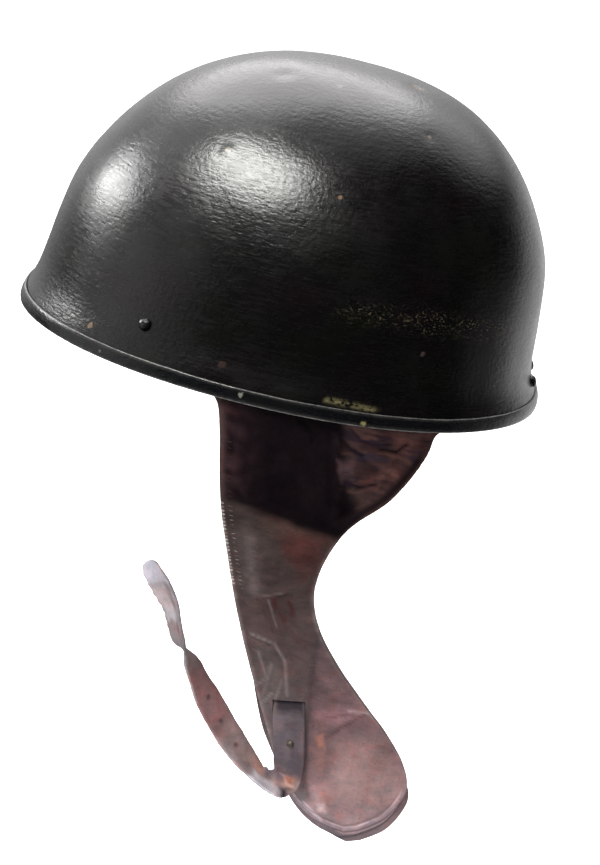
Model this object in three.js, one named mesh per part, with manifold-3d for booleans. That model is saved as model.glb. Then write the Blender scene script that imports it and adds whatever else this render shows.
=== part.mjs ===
// Dispatch rider helmet: a painted steel dome with a crimped rim band, two long leather ear flaps
// that hang inside the rim and close over the chin, a chin strap and its buckle.
// Millimetres. The rim is level, -x is the brow, +x the nape, -y the wearer's left, z points up.
import * as THREE from 'three';
import { mergeVertices } from 'three/addons/utils/BufferGeometryUtils.js';
import Module from 'manifold-3d';

const wasm = await Module();
wasm.setup();

// Shell: height over the rim, and for each of front, rear and side the reach of the dome, the power
// of its curve, how far the rim flares, from which height and how high up, and how far the wall
// bulges above it.
const SHELL_HEIGHT = 158;
const WALL = 1.6;
const PROFILE = {
  front: { reach: 140, power: 2.22, flare: 7.2, flareStart: 1.6, flareHeight: 15, bulge: 1.3 },
  rear: { reach: 133.3, power: 2.6, flare: 7.2, flareStart: 3.2, flareHeight: 9.8, bulge: 2.1 },
  side: { reach: 111.2, power: 2.49, flare: 4, flareStart: 6, flareHeight: 14, bulge: 0 },
};
const BULGE = { height: 78, spread: 24 };
const PLAN_POWER = 2.07;
const EGG = 0.016;
const SHELL_EDGE_Z = 0.9;
const PLAN_STEPS = 68;
const DOME_RINGS = 10;

// Rim band: a strip bent over the edge of the shell
const GAP = 0.3;
const BAND_SHEET = 1;
const BAND_TOP = 7;
const BAND_BOTTOM = -0.5;
const BAND_INNER_TOP = 5;
const BAND_MIDDLE = 3.6;

// Ear flaps: leather hung from a margin that runs inside the shell from the front to the rear rivet
const LEATHER = 2.6;
const FLAP_INSET = WALL + GAP + BAND_SHEET + 0.4;
const FLAP_COLUMNS = 14;
const MARGIN_ANGLES = { front: 128, rear: 2.5 };
const MARGIN_HEIGHTS = [30, 18, 6.6];
const LOBE_FACE = 7.3;
const SWING_START = 5;
const SWING_LENGTH = 225;
const FLATTEN_LENGTH = 135;

// The far flap hangs lower, so that its edge shows below the near one; its neck is narrower at the
// rear and its lobe lies further back
const FAR_FLAP = { drop: 11.5, dropStart: 40, dropLength: 180, neckIn: 8, lobeBack: 4 };

// Front and rear edge of the flap, a row per section from the rim down round the chin lobe
const FLAP_ROWS = [
  { frontX: -39.5, frontZ: 4, rearX: 100, rearZ: 4 },
  { frontX: -27.5, frontZ: -3, rearX: 86, rearZ: -3.5 },
  { frontX: -22.5, frontZ: -18.5, rearX: 84, rearZ: -11.5 },
  { frontX: -19.5, frontZ: -36, rearX: 79.5, rearZ: -23 },
  { frontX: -16.5, frontZ: -54.5, rearX: 70, rearZ: -40.5 },
  { frontX: -12.5, frontZ: -75, rearX: 53, rearZ: -60.5 },
  { frontX: -7.5, frontZ: -96, rearX: 47.8, rearZ: -79 },
  { frontX: -2.5, frontZ: -117.5, rearX: 44.3, rearZ: -101 },
  { frontX: 3.5, frontZ: -141.5, rearX: 45.5, rearZ: -127 },
  { frontX: 11.8, frontZ: -170, rearX: 54.5, rearZ: -154.5 },
  { frontX: 21.5, frontZ: -197.5, rearX: 71, rearZ: -181 },
  { frontX: 31, frontZ: -220, rearX: 89.5, rearZ: -203 },
  { frontX: 40, frontZ: -239, rearX: 107, rearZ: -221 },
  { frontX: 48, frontZ: -256, rearX: 120, rearZ: -237 },
  { frontX: 55.5, frontZ: -269, rearX: 126, rearZ: -251.5 },
  { frontX: 66, frontZ: -279.5, rearX: 123.5, rearZ: -264 },
  { frontX: 77.5, frontZ: -286, rearX: 117, rearZ: -275.5 },
  { frontX: 88, frontZ: -288.5, rearX: 110.5, rearZ: -281.5 },
  { frontX: 95.5, frontZ: -289.5, rearX: 103.5, rearZ: -286.5 },
];
const FLAP_STEPS_PER_ROW = 1;

// Relief of the flap: a soft upright fold below the rim and a rear edge that curls outwards
const FOLD = { x: 40, width: 13, rise: 4, top: -4, bottom: -78 };
const CURL = { width: 14, rise: 5, top: -4, bottom: -84 };

// Chin strap, 3/4 inch: its two edges, a row per section, from the end behind the flap, out of the
// slot, down the lobe, round the fold and along the free end that the leather holds up
const STRAP_WIDTH = 19;
const STRAP_THICKNESS = 2;
const STRAP_STEPS_PER_ROW = 2;
const STRAP_ROWS = [
  { outerX: 51.5, outerY: -12.2, outerZ: -187, innerX: 32, innerY: -10.8, innerZ: -191.5 },
  { outerX: 53.5, outerY: -9, outerZ: -196.5, innerX: 34, innerY: -7.7, innerZ: -201 },
  { outerX: 55, outerY: -6.2, outerZ: -207, innerX: 36, innerY: -5.2, innerZ: -211.5 },
  { outerX: 56, outerY: -7.6, outerZ: -212.5, innerX: 37.5, innerY: -7, innerZ: -216 },
  { outerX: 57, outerY: -9.6, outerZ: -217.5, innerX: 38.5, innerY: -9.3, innerZ: -221 },
  { outerX: 59, outerY: -9, outerZ: -226.5, innerX: 40, innerY: -8.9, innerZ: -229.5 },
  { outerX: 61, outerY: -8.7, outerZ: -237, innerX: 42, innerY: -8.7, innerZ: -239 },
  { outerX: 63.5, outerY: -8.7, outerZ: -247.5, innerX: 43.5, innerY: -8.7, innerZ: -248 },
  { outerX: 65, outerY: -9.3, outerZ: -259, innerX: 44.5, innerY: -9, innerZ: -253.5 },
  { outerX: 64, outerY: -11.5, outerZ: -265.5, innerX: 45, innerY: -11, innerZ: -255.5 },
  { outerX: 56, outerY: -16, outerZ: -269.5, innerX: 43.5, innerY: -11.5, innerZ: -257 },
  { outerX: 47.5, outerY: -22, outerZ: -265, innerX: 42, innerY: -9, innerZ: -258.5 },
  { outerX: 40, outerY: -25, outerZ: -260.5, innerX: 40, innerY: -8.5, innerZ: -258.5 },
  { outerX: 31, outerY: -24.5, outerZ: -255.5, innerX: 37, innerY: -8, innerZ: -255 },
  { outerX: 20.5, outerY: -23.5, outerZ: -249, innerX: 31.5, innerY: -9, innerZ: -247.5 },
  { outerX: 11, outerY: -22.5, outerZ: -240, innerX: 23.5, innerY: -10, innerZ: -237.5 },
  { outerX: 2, outerY: -23.5, outerZ: -229, innerX: 15, innerY: -11, innerZ: -227 },
  { outerX: -6.5, outerY: -25.5, outerZ: -216, innerX: 6, innerY: -12, innerZ: -215 },
  { outerX: -12.5, outerY: -29, outerZ: -202.5, innerX: -4, innerY: -12.5, innerZ: -204 },
  { outerX: -17.5, outerY: -31.5, outerZ: -191, innerX: -11.5, innerY: -14, innerZ: -194 },
  { outerX: -18.5, outerY: -33, outerZ: -183, innerX: -20, innerY: -15, innerZ: -189 },
  { outerX: -20.5, outerY: -33.5, outerZ: -175, innerX: -26.5, innerY: -18, innerZ: -185 },
  { outerX: -23, outerY: -34, outerZ: -168.5, innerX: -30, innerY: -19.5, innerZ: -178.5 },
  { outerX: -25.5, outerY: -34.5, outerZ: -161, innerX: -33, innerY: -20.5, innerZ: -171 },
  { outerX: -28, outerY: -35, outerZ: -153.5, innerX: -36.5, innerY: -22, innerZ: -163.5 },
  { outerX: -30.5, outerY: -36, outerZ: -147.5, innerX: -41.5, innerY: -23.5, innerZ: -157 },
  { outerX: -35, outerY: -37, outerZ: -140.5, innerX: -46.5, innerY: -26, innerZ: -149 },
  { outerX: -42.5, outerY: -36, outerZ: -134.5, innerX: -50, innerY: -28.5, innerZ: -139.5 },
  { outerX: -47.5, outerY: -33, outerZ: -131, innerX: -49.5, innerY: -31, innerZ: -132.5 },
];
const TIP_ROWS = 2;
const STRAP_HOLE_RADIUS = 1.6;
const STRAP_HOLE_ROWS = [14.6, 15.9, 17.1];
const SLOT = { x: 46.7, z: -214.7, wide: 21.5, high: 10.6, tilt: 11 };

// Rivets and studs: plan angle from the nape, height over the rim and clearance of the head, which
// spans the hollow of the flare
const RIVET_PLACES = [
  { name: 'front', angle: 119.1, z: 23.1, clearance: 0.4 },
  { name: 'rear', angle: 7, z: 13.4, clearance: 0.6 },
];
const RIVET = { headRadius: 3.4, headHeight: 2.2, shankRadius: 1.5, washerRadius: 2.9, washer: 1 };
const STUD = { headRadius: 2.3, headHeight: 1.4, shankRadius: 1.1, washerRadius: 3, washer: 0.8 };
const STUD_POINT = { x: 52.5, z: -238 };
const PIN_SIDES = 12;

// Buckle and its strap on the far flap
const BUCKLE = { x: 84, z: -258, tilt: 14, wide: 26, high: 22, wire: 2.6, windowWide: 19.5, windowHigh: 15.4 };
const BUCKLE_STRAP = { width: 15, length: 30, eyeRadius: 1.6, layer: 1.8 };

// Steel, paint and leather
const blackPaint = { color: 0x15171a, roughness: 0.32, metalness: 0.1 };
const bandPaint = { color: 0x1b1d22, roughness: 0.35, metalness: 0.15 };
const flapLeather = { color: 0x5a4444, roughness: 0.62, metalness: 0 };
const strapLeather = { color: 0x6d5652, roughness: 0.6, metalness: 0 };
const rivetSteel = { color: 0x25262a, roughness: 0.4, metalness: 0.5 };
const dullSteel = { color: 0x6f6a60, roughness: 0.45, metalness: 0.8 };

const group = new THREE.Group();
const body = new THREE.Group();
body.position.z = WALL - SHELL_HEIGHT;
group.add(body);

function addPart(name, geometry, finish) {
  const mesh = new THREE.Mesh(geometry, new THREE.MeshStandardMaterial(finish));
  mesh.name = name;
  body.add(mesh);
}

const mix = (a, b, t) => a + (b - a) * t;
const radians = (degrees) => (degrees * Math.PI) / 180;

function smooth(t) {
  const s = Math.min(Math.max(t, 0), 1);
  return s * s * (3 - 2 * s);
}

// A closed skin made of loops of points. Each loop has the same number of points.
class Skin {
  constructor() {
    this.points = [];
    this.faces = [];
  }

  add(loop) {
    const first = this.points.length;
    this.points.push(...loop);
    return loop.map((point, k) => first + k);
  }

  quad(a, b, c, d) {
    this.faces.push(a, b, c);
    this.faces.push(a, c, d);
  }

  band(lower, upper) {
    lower.forEach((point, k) => {
      const next = (k + 1) % lower.length;
      this.quad(lower[k], lower[next], upper[next], upper[k]);
    });
  }

  fan(loop, tip) {
    loop.forEach((point, k) => this.faces.push(point, loop[(k + 1) % loop.length], tip));
  }

  // closes a flat loop whose second half runs back beside its first half
  cap(loop) {
    const half = loop.length / 2;
    for (let k = 0; k < half - 1; k += 1) {
      this.quad(loop[k], loop[loop.length - 1 - k], loop[loop.length - 2 - k], loop[k + 1]);
    }
  }

  volume() {
    let sum = 0;
    for (let k = 0; k < this.faces.length; k += 3) {
      const [a, b, c] = [0, 1, 2].map((n) => this.points[this.faces[k + n]]);
      sum += a.dot(new THREE.Vector3().crossVectors(b, c));
    }
    return sum / 6;
  }

  geometry() {
    if (this.volume() < 0) {
      this.faces.reverse();
    }
    const geometry = new THREE.BufferGeometry();
    const flat = this.points.flatMap((p) => [p.x, p.y, p.z]);
    geometry.setAttribute('position', new THREE.Float32BufferAttribute(flat, 3));
    geometry.setIndex(this.faces);
    geometry.computeVertexNormals();
    return geometry;
  }
}

// lofts a solid through closed loops, either all round or with a cap at each end
function loft(loops, allRound) {
  const skin = new Skin();
  const rows = loops.map((loop) => skin.add(loop));
  for (let k = 1; k < rows.length; k += 1) {
    skin.band(rows[k - 1], rows[k]);
  }
  if (allRound) {
    skin.band(rows[rows.length - 1], rows[0]);
  } else {
    skin.cap(rows[0]);
    skin.cap([...rows[rows.length - 1]].reverse());
  }
  return skin.geometry();
}

function toManifold(geometry) {
  const bare = geometry.clone();
  bare.deleteAttribute('normal');
  bare.deleteAttribute('uv');
  const merged = mergeVertices(bare, 1e-4);
  return new wasm.Manifold(new wasm.Mesh({
    numProp: 3,
    vertProperties: new Float32Array(merged.attributes.position.array),
    triVerts: new Uint32Array(merged.index.array),
  }));
}

function fromManifold(solid) {
  const mesh = solid.getMesh();
  const geometry = new THREE.BufferGeometry();
  geometry.setAttribute('position', new THREE.Float32BufferAttribute(mesh.vertProperties, 3));
  geometry.setIndex(Array.from(mesh.triVerts));
  geometry.computeVertexNormals();
  return geometry;
}

function cut(geometry, tools) {
  let solid = toManifold(geometry);
  tools.forEach((tool) => {
    solid = solid.subtract(toManifold(tool));
  });
  return fromManifold(solid);
}

function join(pieces) {
  let solid = toManifold(pieces[0]);
  pieces.slice(1).forEach((piece) => {
    solid = solid.add(toManifold(piece));
  });
  return fromManifold(solid);
}

// reach of the shell at a height, inset from its outer face
function reachAt(side, z, inset) {
  const { reach, power, flare, flareStart, flareHeight, bulge } = PROFILE[side];
  const level = Math.min(Math.max(z, 0) / (SHELL_HEIGHT - inset), 1);
  const dome = (reach - inset) * (1 - level ** power) ** (1 / power);
  const swell = bulge * Math.exp(-(((z - BULGE.height) / BULGE.spread) ** 2));
  return dome + swell + flare * Math.exp(-((Math.max(z - flareStart, 0) / flareHeight) ** 1.5));
}

// point of the shell at a plan angle from the nape; negative angles are on the wearer's left
function wallPoint(angle, z, inset) {
  const c = Math.cos(radians(angle));
  const s = Math.sin(radians(angle));
  const length = reachAt(c < 0 ? 'front' : 'rear', z, inset);
  const half = reachAt('side', z, inset) * (1 + EGG * c);
  const x = length * Math.sign(c) * Math.abs(c) ** (2 / PLAN_POWER);
  const y = half * Math.sign(s) * Math.abs(s) ** (2 / PLAN_POWER);
  return new THREE.Vector3(x, y, z);
}

function wallAngle(x, z, inset) {
  const length = reachAt(x < 0 ? 'front' : 'rear', z, inset);
  const c = Math.sign(x) * Math.min(Math.abs(x) / length, 1) ** (PLAN_POWER / 2);
  return -THREE.MathUtils.radToDeg(Math.acos(c));
}

function wallNormal(angle, z) {
  const along = wallPoint(angle + 1, z, 0).sub(wallPoint(angle - 1, z, 0));
  const rise = wallPoint(angle, z + 1, 0).sub(wallPoint(angle, z - 1, 0));
  return along.cross(rise).normalize();
}

function shellRings(inset) {
  const heights = [SHELL_EDGE_Z, 4, 8, 13, 20];
  const top = SHELL_HEIGHT - inset;
  const start = Math.asin(30 / top);
  for (let k = 0; k < DOME_RINGS; k += 1) {
    heights.push(top * Math.sin(mix(start, Math.PI / 2, k / DOME_RINGS)));
  }
  return heights.map((z) => {
    const ring = [];
    for (let k = 0; k < PLAN_STEPS; k += 1) {
      ring.push(wallPoint((360 * k) / PLAN_STEPS, z, inset));
    }
    return ring;
  });
}

function makeShell() {
  const skin = new Skin();
  const outer = shellRings(0).map((ring) => skin.add(ring));
  const inner = shellRings(WALL).map((ring) => skin.add(ring));
  for (let k = 1; k < outer.length; k += 1) {
    skin.band(outer[k - 1], outer[k]);
    skin.band(inner[k], inner[k - 1]);
  }
  const [outerTip, innerTip] = skin.add([0, WALL].map((t) => new THREE.Vector3(0, 0, SHELL_HEIGHT - t)));
  skin.fan(outer[outer.length - 1], outerTip);
  skin.fan([...inner[inner.length - 1]].reverse(), innerTip);
  skin.band(inner[0], outer[0]);
  return skin.geometry();
}

// section of the rim band: inset from the shell's outer face, and height
function bandSection() {
  const outside = -GAP - BAND_SHEET;
  const inside = WALL + GAP + BAND_SHEET;
  const floor = BAND_BOTTOM + BAND_SHEET;
  return [
    { inset: -GAP, z: BAND_TOP },
    { inset: outside + 0.3, z: BAND_TOP },
    { inset: outside, z: BAND_TOP - 0.4 },
    { inset: outside, z: BAND_MIDDLE },
    { inset: outside, z: BAND_BOTTOM + 0.6 },
    { inset: outside + 0.6, z: BAND_BOTTOM },
    { inset: inside - 0.5, z: BAND_BOTTOM },
    { inset: inside, z: BAND_BOTTOM + 0.5 },
    { inset: inside, z: BAND_INNER_TOP },
    { inset: inside - BAND_SHEET, z: BAND_INNER_TOP },
    { inset: inside - BAND_SHEET, z: floor },
    { inset: -GAP, z: floor },
    { inset: -GAP, z: BAND_MIDDLE },
  ];
}

function makeBand() {
  const loops = [];
  for (let k = 0; k < PLAN_STEPS; k += 1) {
    const angle = (360 * k) / PLAN_STEPS;
    loops.push(bandSection().map(({ inset, z }) => wallPoint(angle, z, inset)));
  }
  return loft(loops, true);
}

// how far the flap's outer face lies from the middle plane: it follows the wall at the rim,
// flattens on its way down and swings in to the chin
function flapReach(x, z) {
  const level = BAND_INNER_TOP;
  const wall = Math.abs(wallPoint(wallAngle(x, level, FLAP_INSET), level, FLAP_INSET).y);
  const middle = Math.abs(wallPoint(-90, level, FLAP_INSET).y);
  const upper = mix(wall, middle, smooth(-z / FLATTEN_LENGTH));
  return mix(upper, LOBE_FACE, smooth((-z - SWING_START) / SWING_LENGTH));
}

function between(z, { top, bottom }) {
  return smooth((top - z) / 14) * smooth((z - bottom) / 22);
}

function flapRelief(x, z, fromRear) {
  const fold = FOLD.rise * Math.exp(-(((x - FOLD.x) / FOLD.width) ** 2)) * between(z, FOLD);
  const curl = CURL.rise * smooth(1 - fromRear / CURL.width) * between(z, CURL);
  return fold + curl;
}

function edgeCurve(rows, xName, zName) {
  const points = rows.map((row) => new THREE.Vector3(row[xName], 0, row[zName]));
  return new THREE.CatmullRomCurve3(points, false, 'centripetal');
}

// how far a point of the far flap lies back from the same point of the near flap
function farShift(z, atRear) {
  const neck = FAR_FLAP.neckIn * smooth((-z - 90) / 50) * smooth((z + 240) / 45);
  const lobe = FAR_FLAP.lobeBack * smooth((-z - 225) / 35);
  return atRear ? lobe - neck : lobe;
}

// outer face of a flap, row by row, drawn on the wearer's left
function flapFace(isFar) {
  const face = MARGIN_HEIGHTS.map((z) => {
    const row = [];
    for (let k = 0; k <= FLAP_COLUMNS; k += 1) {
      const angle = -mix(MARGIN_ANGLES.front, MARGIN_ANGLES.rear, k / FLAP_COLUMNS);
      row.push(wallPoint(angle, z, FLAP_INSET));
    }
    return row;
  });
  const front = edgeCurve(FLAP_ROWS, 'frontX', 'frontZ');
  const rear = edgeCurve(FLAP_ROWS, 'rearX', 'rearZ');
  const steps = (FLAP_ROWS.length - 1) * FLAP_STEPS_PER_ROW;
  for (let n = 0; n <= steps; n += 1) {
    const a = front.getPoint(n / steps);
    const b = rear.getPoint(n / steps);
    if (isFar) {
      a.x += farShift(a.z, false);
      b.x += farShift(b.z, true);
    }
    const width = a.distanceTo(b);
    const row = [];
    for (let k = 0; k <= FLAP_COLUMNS; k += 1) {
      const point = new THREE.Vector3().lerpVectors(a, b, k / FLAP_COLUMNS);
      const fromRear = width * (1 - k / FLAP_COLUMNS);
      point.y = -flapReach(point.x, point.z) - flapRelief(point.x, point.z, fromRear);
      if (isFar) {
        point.z -= FAR_FLAP.drop * smooth((-point.z - FAR_FLAP.dropStart) / FAR_FLAP.dropLength);
      }
      row.push(point);
    }
    face.push(row);
  }
  return face;
}

// a sheet of leather behind a face: each row of the face becomes a closed thin loop
function sheetBehind(face, thickness) {
  const loops = face.map((row, n) => {
    const above = face[Math.max(n - 1, 0)];
    const below = face[Math.min(n + 1, face.length - 1)];
    const back = row.map((point, k) => {
      const across = row[Math.min(k + 1, row.length - 1)].clone().sub(row[Math.max(k - 1, 0)]);
      const down = below[k].clone().sub(above[k]);
      return across.cross(down).normalize().multiplyScalar(thickness).add(point);
    });
    return [...row, ...back.reverse()];
  });
  return loft(loops, false);
}

function pin(shape, length) {
  const { headRadius, headHeight, shankRadius, washerRadius, washer } = shape;
  const profile = [
    [0, -length - washer],
    [washerRadius, -length - washer],
    [washerRadius, -length],
    [shankRadius, -length],
    [shankRadius, 0],
    [headRadius, 0],
    [headRadius * 0.88, headHeight * 0.5],
    [headRadius * 0.52, headHeight * 0.88],
    [0, headHeight],
  ];
  return new THREE.LatheGeometry(profile.map(([r, y]) => new THREE.Vector2(r, y)), PIN_SIDES);
}

function drill(radius, length) {
  return new THREE.CylinderGeometry(radius, radius, length, PIN_SIDES);
}

// stands a piece that is made along +y on a point, along a direction
function standOn(geometry, point, direction) {
  const turn = new THREE.Quaternion().setFromUnitVectors(new THREE.Vector3(0, 1, 0), direction);
  return geometry.clone().applyQuaternion(turn).translate(point.x, point.y, point.z);
}

function mirror(geometry) {
  const other = geometry.clone().scale(1, -1, 1);
  const index = Array.from(other.index.array).reverse();
  other.setIndex(index);
  other.computeVertexNormals();
  return other;
}

const rivets = RIVET_PLACES.map(({ name, angle, z, clearance }) => {
  const out = wallNormal(-angle, z);
  const seat = wallPoint(-angle, z, 0).addScaledVector(out, clearance);
  const length = FLAP_INSET + LEATHER + GAP + clearance;
  return {
    name,
    solid: standOn(pin(RIVET, length), seat, out),
    hole: standOn(drill(RIVET.shankRadius + GAP, 40), seat, out),
  };
});

// slot in the left flap that the chin strap comes out of
const slotCutter = new THREE.BoxGeometry(SLOT.wide, 30, SLOT.high)
  .rotateY(-radians(SLOT.tilt))
  .translate(SLOT.x, -LOBE_FACE, SLOT.z);

const outward = new THREE.Vector3(0, -1, 0);
const strapFace = -LOBE_FACE - GAP - STRAP_THICKNESS;
const studSeat = new THREE.Vector3(STUD_POINT.x, strapFace - GAP - 0.2, STUD_POINT.z);
const studLength = STRAP_THICKNESS + LEATHER + 3 * GAP + 0.4;
const studHole = standOn(drill(STUD.shankRadius + GAP, 12), studSeat, outward);

const leftHoles = rivets.map(({ hole }) => hole);
const rightHoles = leftHoles.map(mirror);

addPart('shell', cut(makeShell(), [...leftHoles, ...rightHoles]), blackPaint);
addPart('rim_band', makeBand(), bandPaint);

const nearSheet = sheetBehind(flapFace(false), LEATHER);
addPart('ear_flap_left', cut(nearSheet, [...leftHoles, slotCutter, studHole]), flapLeather);

function placeBuckle(geometry) {
  return geometry.rotateY(-radians(BUCKLE.tilt)).translate(BUCKLE.x, 0, BUCKLE.z);
}

const inward = new THREE.Vector3(0, 1, 0);
const farStudSeat = new THREE.Vector3(0, LOBE_FACE + 2 * BUCKLE_STRAP.layer + 2 * GAP + 0.2, 10);
const farStudHole = placeBuckle(standOn(drill(STUD.shankRadius + GAP, 16), farStudSeat, inward));
const farStudLength = 2 * BUCKLE_STRAP.layer + LEATHER + 3 * GAP + 0.4;
const farSheet = mirror(sheetBehind(flapFace(true), LEATHER));
addPart('ear_flap_right', cut(farSheet, [...rightHoles, farStudHole]), flapLeather);

// chin strap: a flat section carried along its two edges
function strapSections() {
  const outer = new THREE.CatmullRomCurve3(
    STRAP_ROWS.map((r) => new THREE.Vector3(r.outerX, r.outerY, r.outerZ)), false, 'centripetal');
  const inner = new THREE.CatmullRomCurve3(
    STRAP_ROWS.map((r) => new THREE.Vector3(r.innerX, r.innerY, r.innerZ)), false, 'centripetal');
  const last = STRAP_ROWS.length - 1;
  const steps = last * STRAP_STEPS_PER_ROW;
  const sections = [];
  for (let n = 0; n <= steps; n += 1) {
    const row = n / STRAP_STEPS_PER_ROW;
    const a = outer.getPoint(row / last);
    const b = inner.getPoint(row / last);
    const across = a.clone().sub(b).normalize();
    const toTip = Math.min((last - row) / TIP_ROWS, 1);
    const half = (STRAP_WIDTH / 2) * mix(0.18, 1, Math.sqrt(1 - (1 - toTip) ** 2));
    sections.push({ centre: a.add(b).multiplyScalar(0.5), across, half });
  }
  return sections;
}

function strapFrame(sections, n) {
  const before = sections[Math.max(n - 1, 0)].centre;
  const after = sections[Math.min(n + 1, sections.length - 1)].centre;
  const along = after.clone().sub(before).normalize();
  return sections[n].across.clone().cross(along).normalize();
}

function makeStrap() {
  const sections = strapSections();
  const loops = sections.map(({ centre, across, half }, n) => {
    const out = strapFrame(sections, n).multiplyScalar(STRAP_THICKNESS / 2);
    const side = across.clone().multiplyScalar(half);
    return [
      centre.clone().add(side).add(out),
      centre.clone().sub(side).add(out),
      centre.clone().sub(side).sub(out),
      centre.clone().add(side).sub(out),
    ];
  });
  const holes = STRAP_HOLE_ROWS.map((row) => {
    const n = Math.round(row * STRAP_STEPS_PER_ROW);
    const tool = drill(STRAP_HOLE_RADIUS, 8);
    return standOn(tool, sections[n].centre, strapFrame(sections, n));
  });
  return cut(loft(loops, false), [...holes, studHole]);
}

addPart('chin_strap', makeStrap(), strapLeather);
addPart('strap_stud', standOn(pin(STUD, studLength), studSeat, outward), dullSteel);

rivets.forEach(({ name, solid }) => {
  addPart(`rivet_left_${name}`, solid, rivetSteel);
  addPart(`rivet_right_${name}`, mirror(solid), rivetSteel);
});

// buckle strap: doubled leather whose lower end is the eye round the buckle's bar,
// drawn in profile (depth from the flap, height) and carried across its width
function makeBuckleStrap() {
  const { width, length, eyeRadius, layer } = BUCKLE_STRAP;
  const thick = 2 * layer;
  const round = eyeRadius + layer;
  const outline = new THREE.Shape();
  outline.moveTo(0, length);
  outline.lineTo(thick, length);
  outline.lineTo(thick, round + 3);
  outline.lineTo(2 * round, round);
  outline.absarc(round, 0, round, 0.2, -Math.PI, true);
  outline.lineTo(0, length);
  const eye = new THREE.Path();
  eye.absarc(round, 0, eyeRadius, 0, 2 * Math.PI, false);
  outline.holes.push(eye);
  const solid = new THREE.ExtrudeGeometry(outline, { depth: width, bevelEnabled: false, curveSegments: 8 });
  // the drawing's x is depth (+y of the helmet) and its y is height
  const turn = new THREE.Matrix4().makeBasis(
    new THREE.Vector3(0, 1, 0), new THREE.Vector3(0, 0, 1), new THREE.Vector3(1, 0, 0));
  solid.applyMatrix4(turn);
  solid.translate(-width / 2, LOBE_FACE + GAP, -length / 2 + 2);
  const tongueGap = new THREE.BoxGeometry(3.4, 14, 12).translate(0, LOBE_FACE + round + 1, -length / 2 - 1.2);
  return cut(solid, [tongueGap]);
}

function makeBuckle() {
  const { wide, high, wire, windowWide, windowHigh } = BUCKLE;
  const { length, eyeRadius, layer } = BUCKLE_STRAP;
  const barY = LOBE_FACE + GAP + eyeRadius + layer;
  const barZ = -length / 2 + 2;
  const frame = new THREE.Shape();
  frame.absarc(-wide / 2 + 3, -high / 2 + 3, 3, Math.PI, 1.5 * Math.PI, false);
  frame.absarc(wide / 2 - 3, -high / 2 + 3, 3, 1.5 * Math.PI, 2 * Math.PI, false);
  frame.absarc(wide / 2 - 3, high / 2 - 3, 3, 0, 0.5 * Math.PI, false);
  frame.absarc(-wide / 2 + 3, high / 2 - 3, 3, 0.5 * Math.PI, Math.PI, false);
  const opening = new THREE.Path();
  opening.moveTo(-windowWide / 2, -windowHigh / 2);
  opening.lineTo(windowWide / 2, -windowHigh / 2);
  opening.lineTo(windowWide / 2, windowHigh / 2);
  opening.lineTo(-windowWide / 2, windowHigh / 2);
  frame.holes.push(opening);
  const side = (high - windowHigh) / 2;
  const centreZ = barZ + side / 2 - high / 2;
  const ring = new THREE.ExtrudeGeometry(frame, { depth: wire, bevelEnabled: false, curveSegments: 4 })
    .rotateX(Math.PI / 2)
    .translate(0, barY + wire / 2, centreZ);
  const barGap = new THREE.BoxGeometry(windowWide, 2 * wire, 2 * side).translate(0, barY, barZ);
  const bar = new THREE.CylinderGeometry(eyeRadius - GAP, eyeRadius - GAP, windowWide + 2, 10)
    .rotateZ(Math.PI / 2)
    .translate(0, barY, barZ);
  const reach = windowHigh + side;
  const tongue = new THREE.BoxGeometry(1.8, 1.8, reach).translate(0, barY + 0.6, barZ - reach / 2);
  return join([cut(ring, [barGap]), bar, tongue]);
}

addPart('buckle_strap', cut(placeBuckle(makeBuckleStrap()), [farStudHole]), strapLeather);
addPart('buckle', placeBuckle(makeBuckle()), dullSteel);
addPart('buckle_stud', placeBuckle(standOn(pin(STUD, farStudLength), farStudSeat, inward)), dullSteel);

export default group;
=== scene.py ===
"""Dispatch rider helmet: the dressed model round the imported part, in metres.

Shapes are worked out in millimetres in the part's own measure: the rim is level at height 0,
-x is the brow, +x the nape, -y the wearer's left, which faces the camera.
"""

import math

import bmesh
import bpy
import numpy as np
from mathutils import Matrix, Vector, noise


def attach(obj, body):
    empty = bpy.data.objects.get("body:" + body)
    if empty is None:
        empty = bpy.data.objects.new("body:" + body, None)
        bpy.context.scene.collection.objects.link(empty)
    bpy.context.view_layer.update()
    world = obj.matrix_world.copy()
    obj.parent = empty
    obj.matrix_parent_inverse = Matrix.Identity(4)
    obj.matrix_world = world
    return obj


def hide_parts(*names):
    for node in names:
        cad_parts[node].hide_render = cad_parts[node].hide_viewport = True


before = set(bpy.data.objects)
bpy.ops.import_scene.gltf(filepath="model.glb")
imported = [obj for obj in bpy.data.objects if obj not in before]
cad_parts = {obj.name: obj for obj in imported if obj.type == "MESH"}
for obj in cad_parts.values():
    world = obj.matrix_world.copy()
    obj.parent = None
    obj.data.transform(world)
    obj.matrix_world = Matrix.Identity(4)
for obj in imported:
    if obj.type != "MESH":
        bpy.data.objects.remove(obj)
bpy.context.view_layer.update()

# Shell
SHELL_HEIGHT = 158.0
WALL = 1.6
# reach of the dome, power of its curve, flare, its start and height, bulge
PROFILE = {
    "front": (140, 2.22, 7.2, 1.6, 15, 1.3),
    "rear": (133.3, 2.6, 7.2, 3.2, 9.8, 2.1),
    "side": (111.2, 2.49, 4, 6, 14, 0),
}
BULGE_HEIGHT = 78.0
BULGE_SPREAD = 24.0
PLAN_POWER = 2.07
EGG = 0.016
SHELL_EDGE_Z = 0.9
RIM_DROP = WALL - SHELL_HEIGHT
# points round the shell, rings of its lower part and of its dome, and the height where they meet
SHELL_STEPS = 300
LOW_RINGS = 24
DOME_RINGS = 96
LOW_HEIGHT = 30.0

# Rim band
GAP = 0.3
BAND_SHEET = 1.0
BAND_TOP = 7.0
BAND_BOTTOM = -0.5
BAND_INNER_TOP = 5.0
BAND_OUT = -GAP - BAND_SHEET
BAND_IN = WALL + GAP + BAND_SHEET
BAND_FLOOR = BAND_BOTTOM + BAND_SHEET
BAND_STEPS = 480
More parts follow.
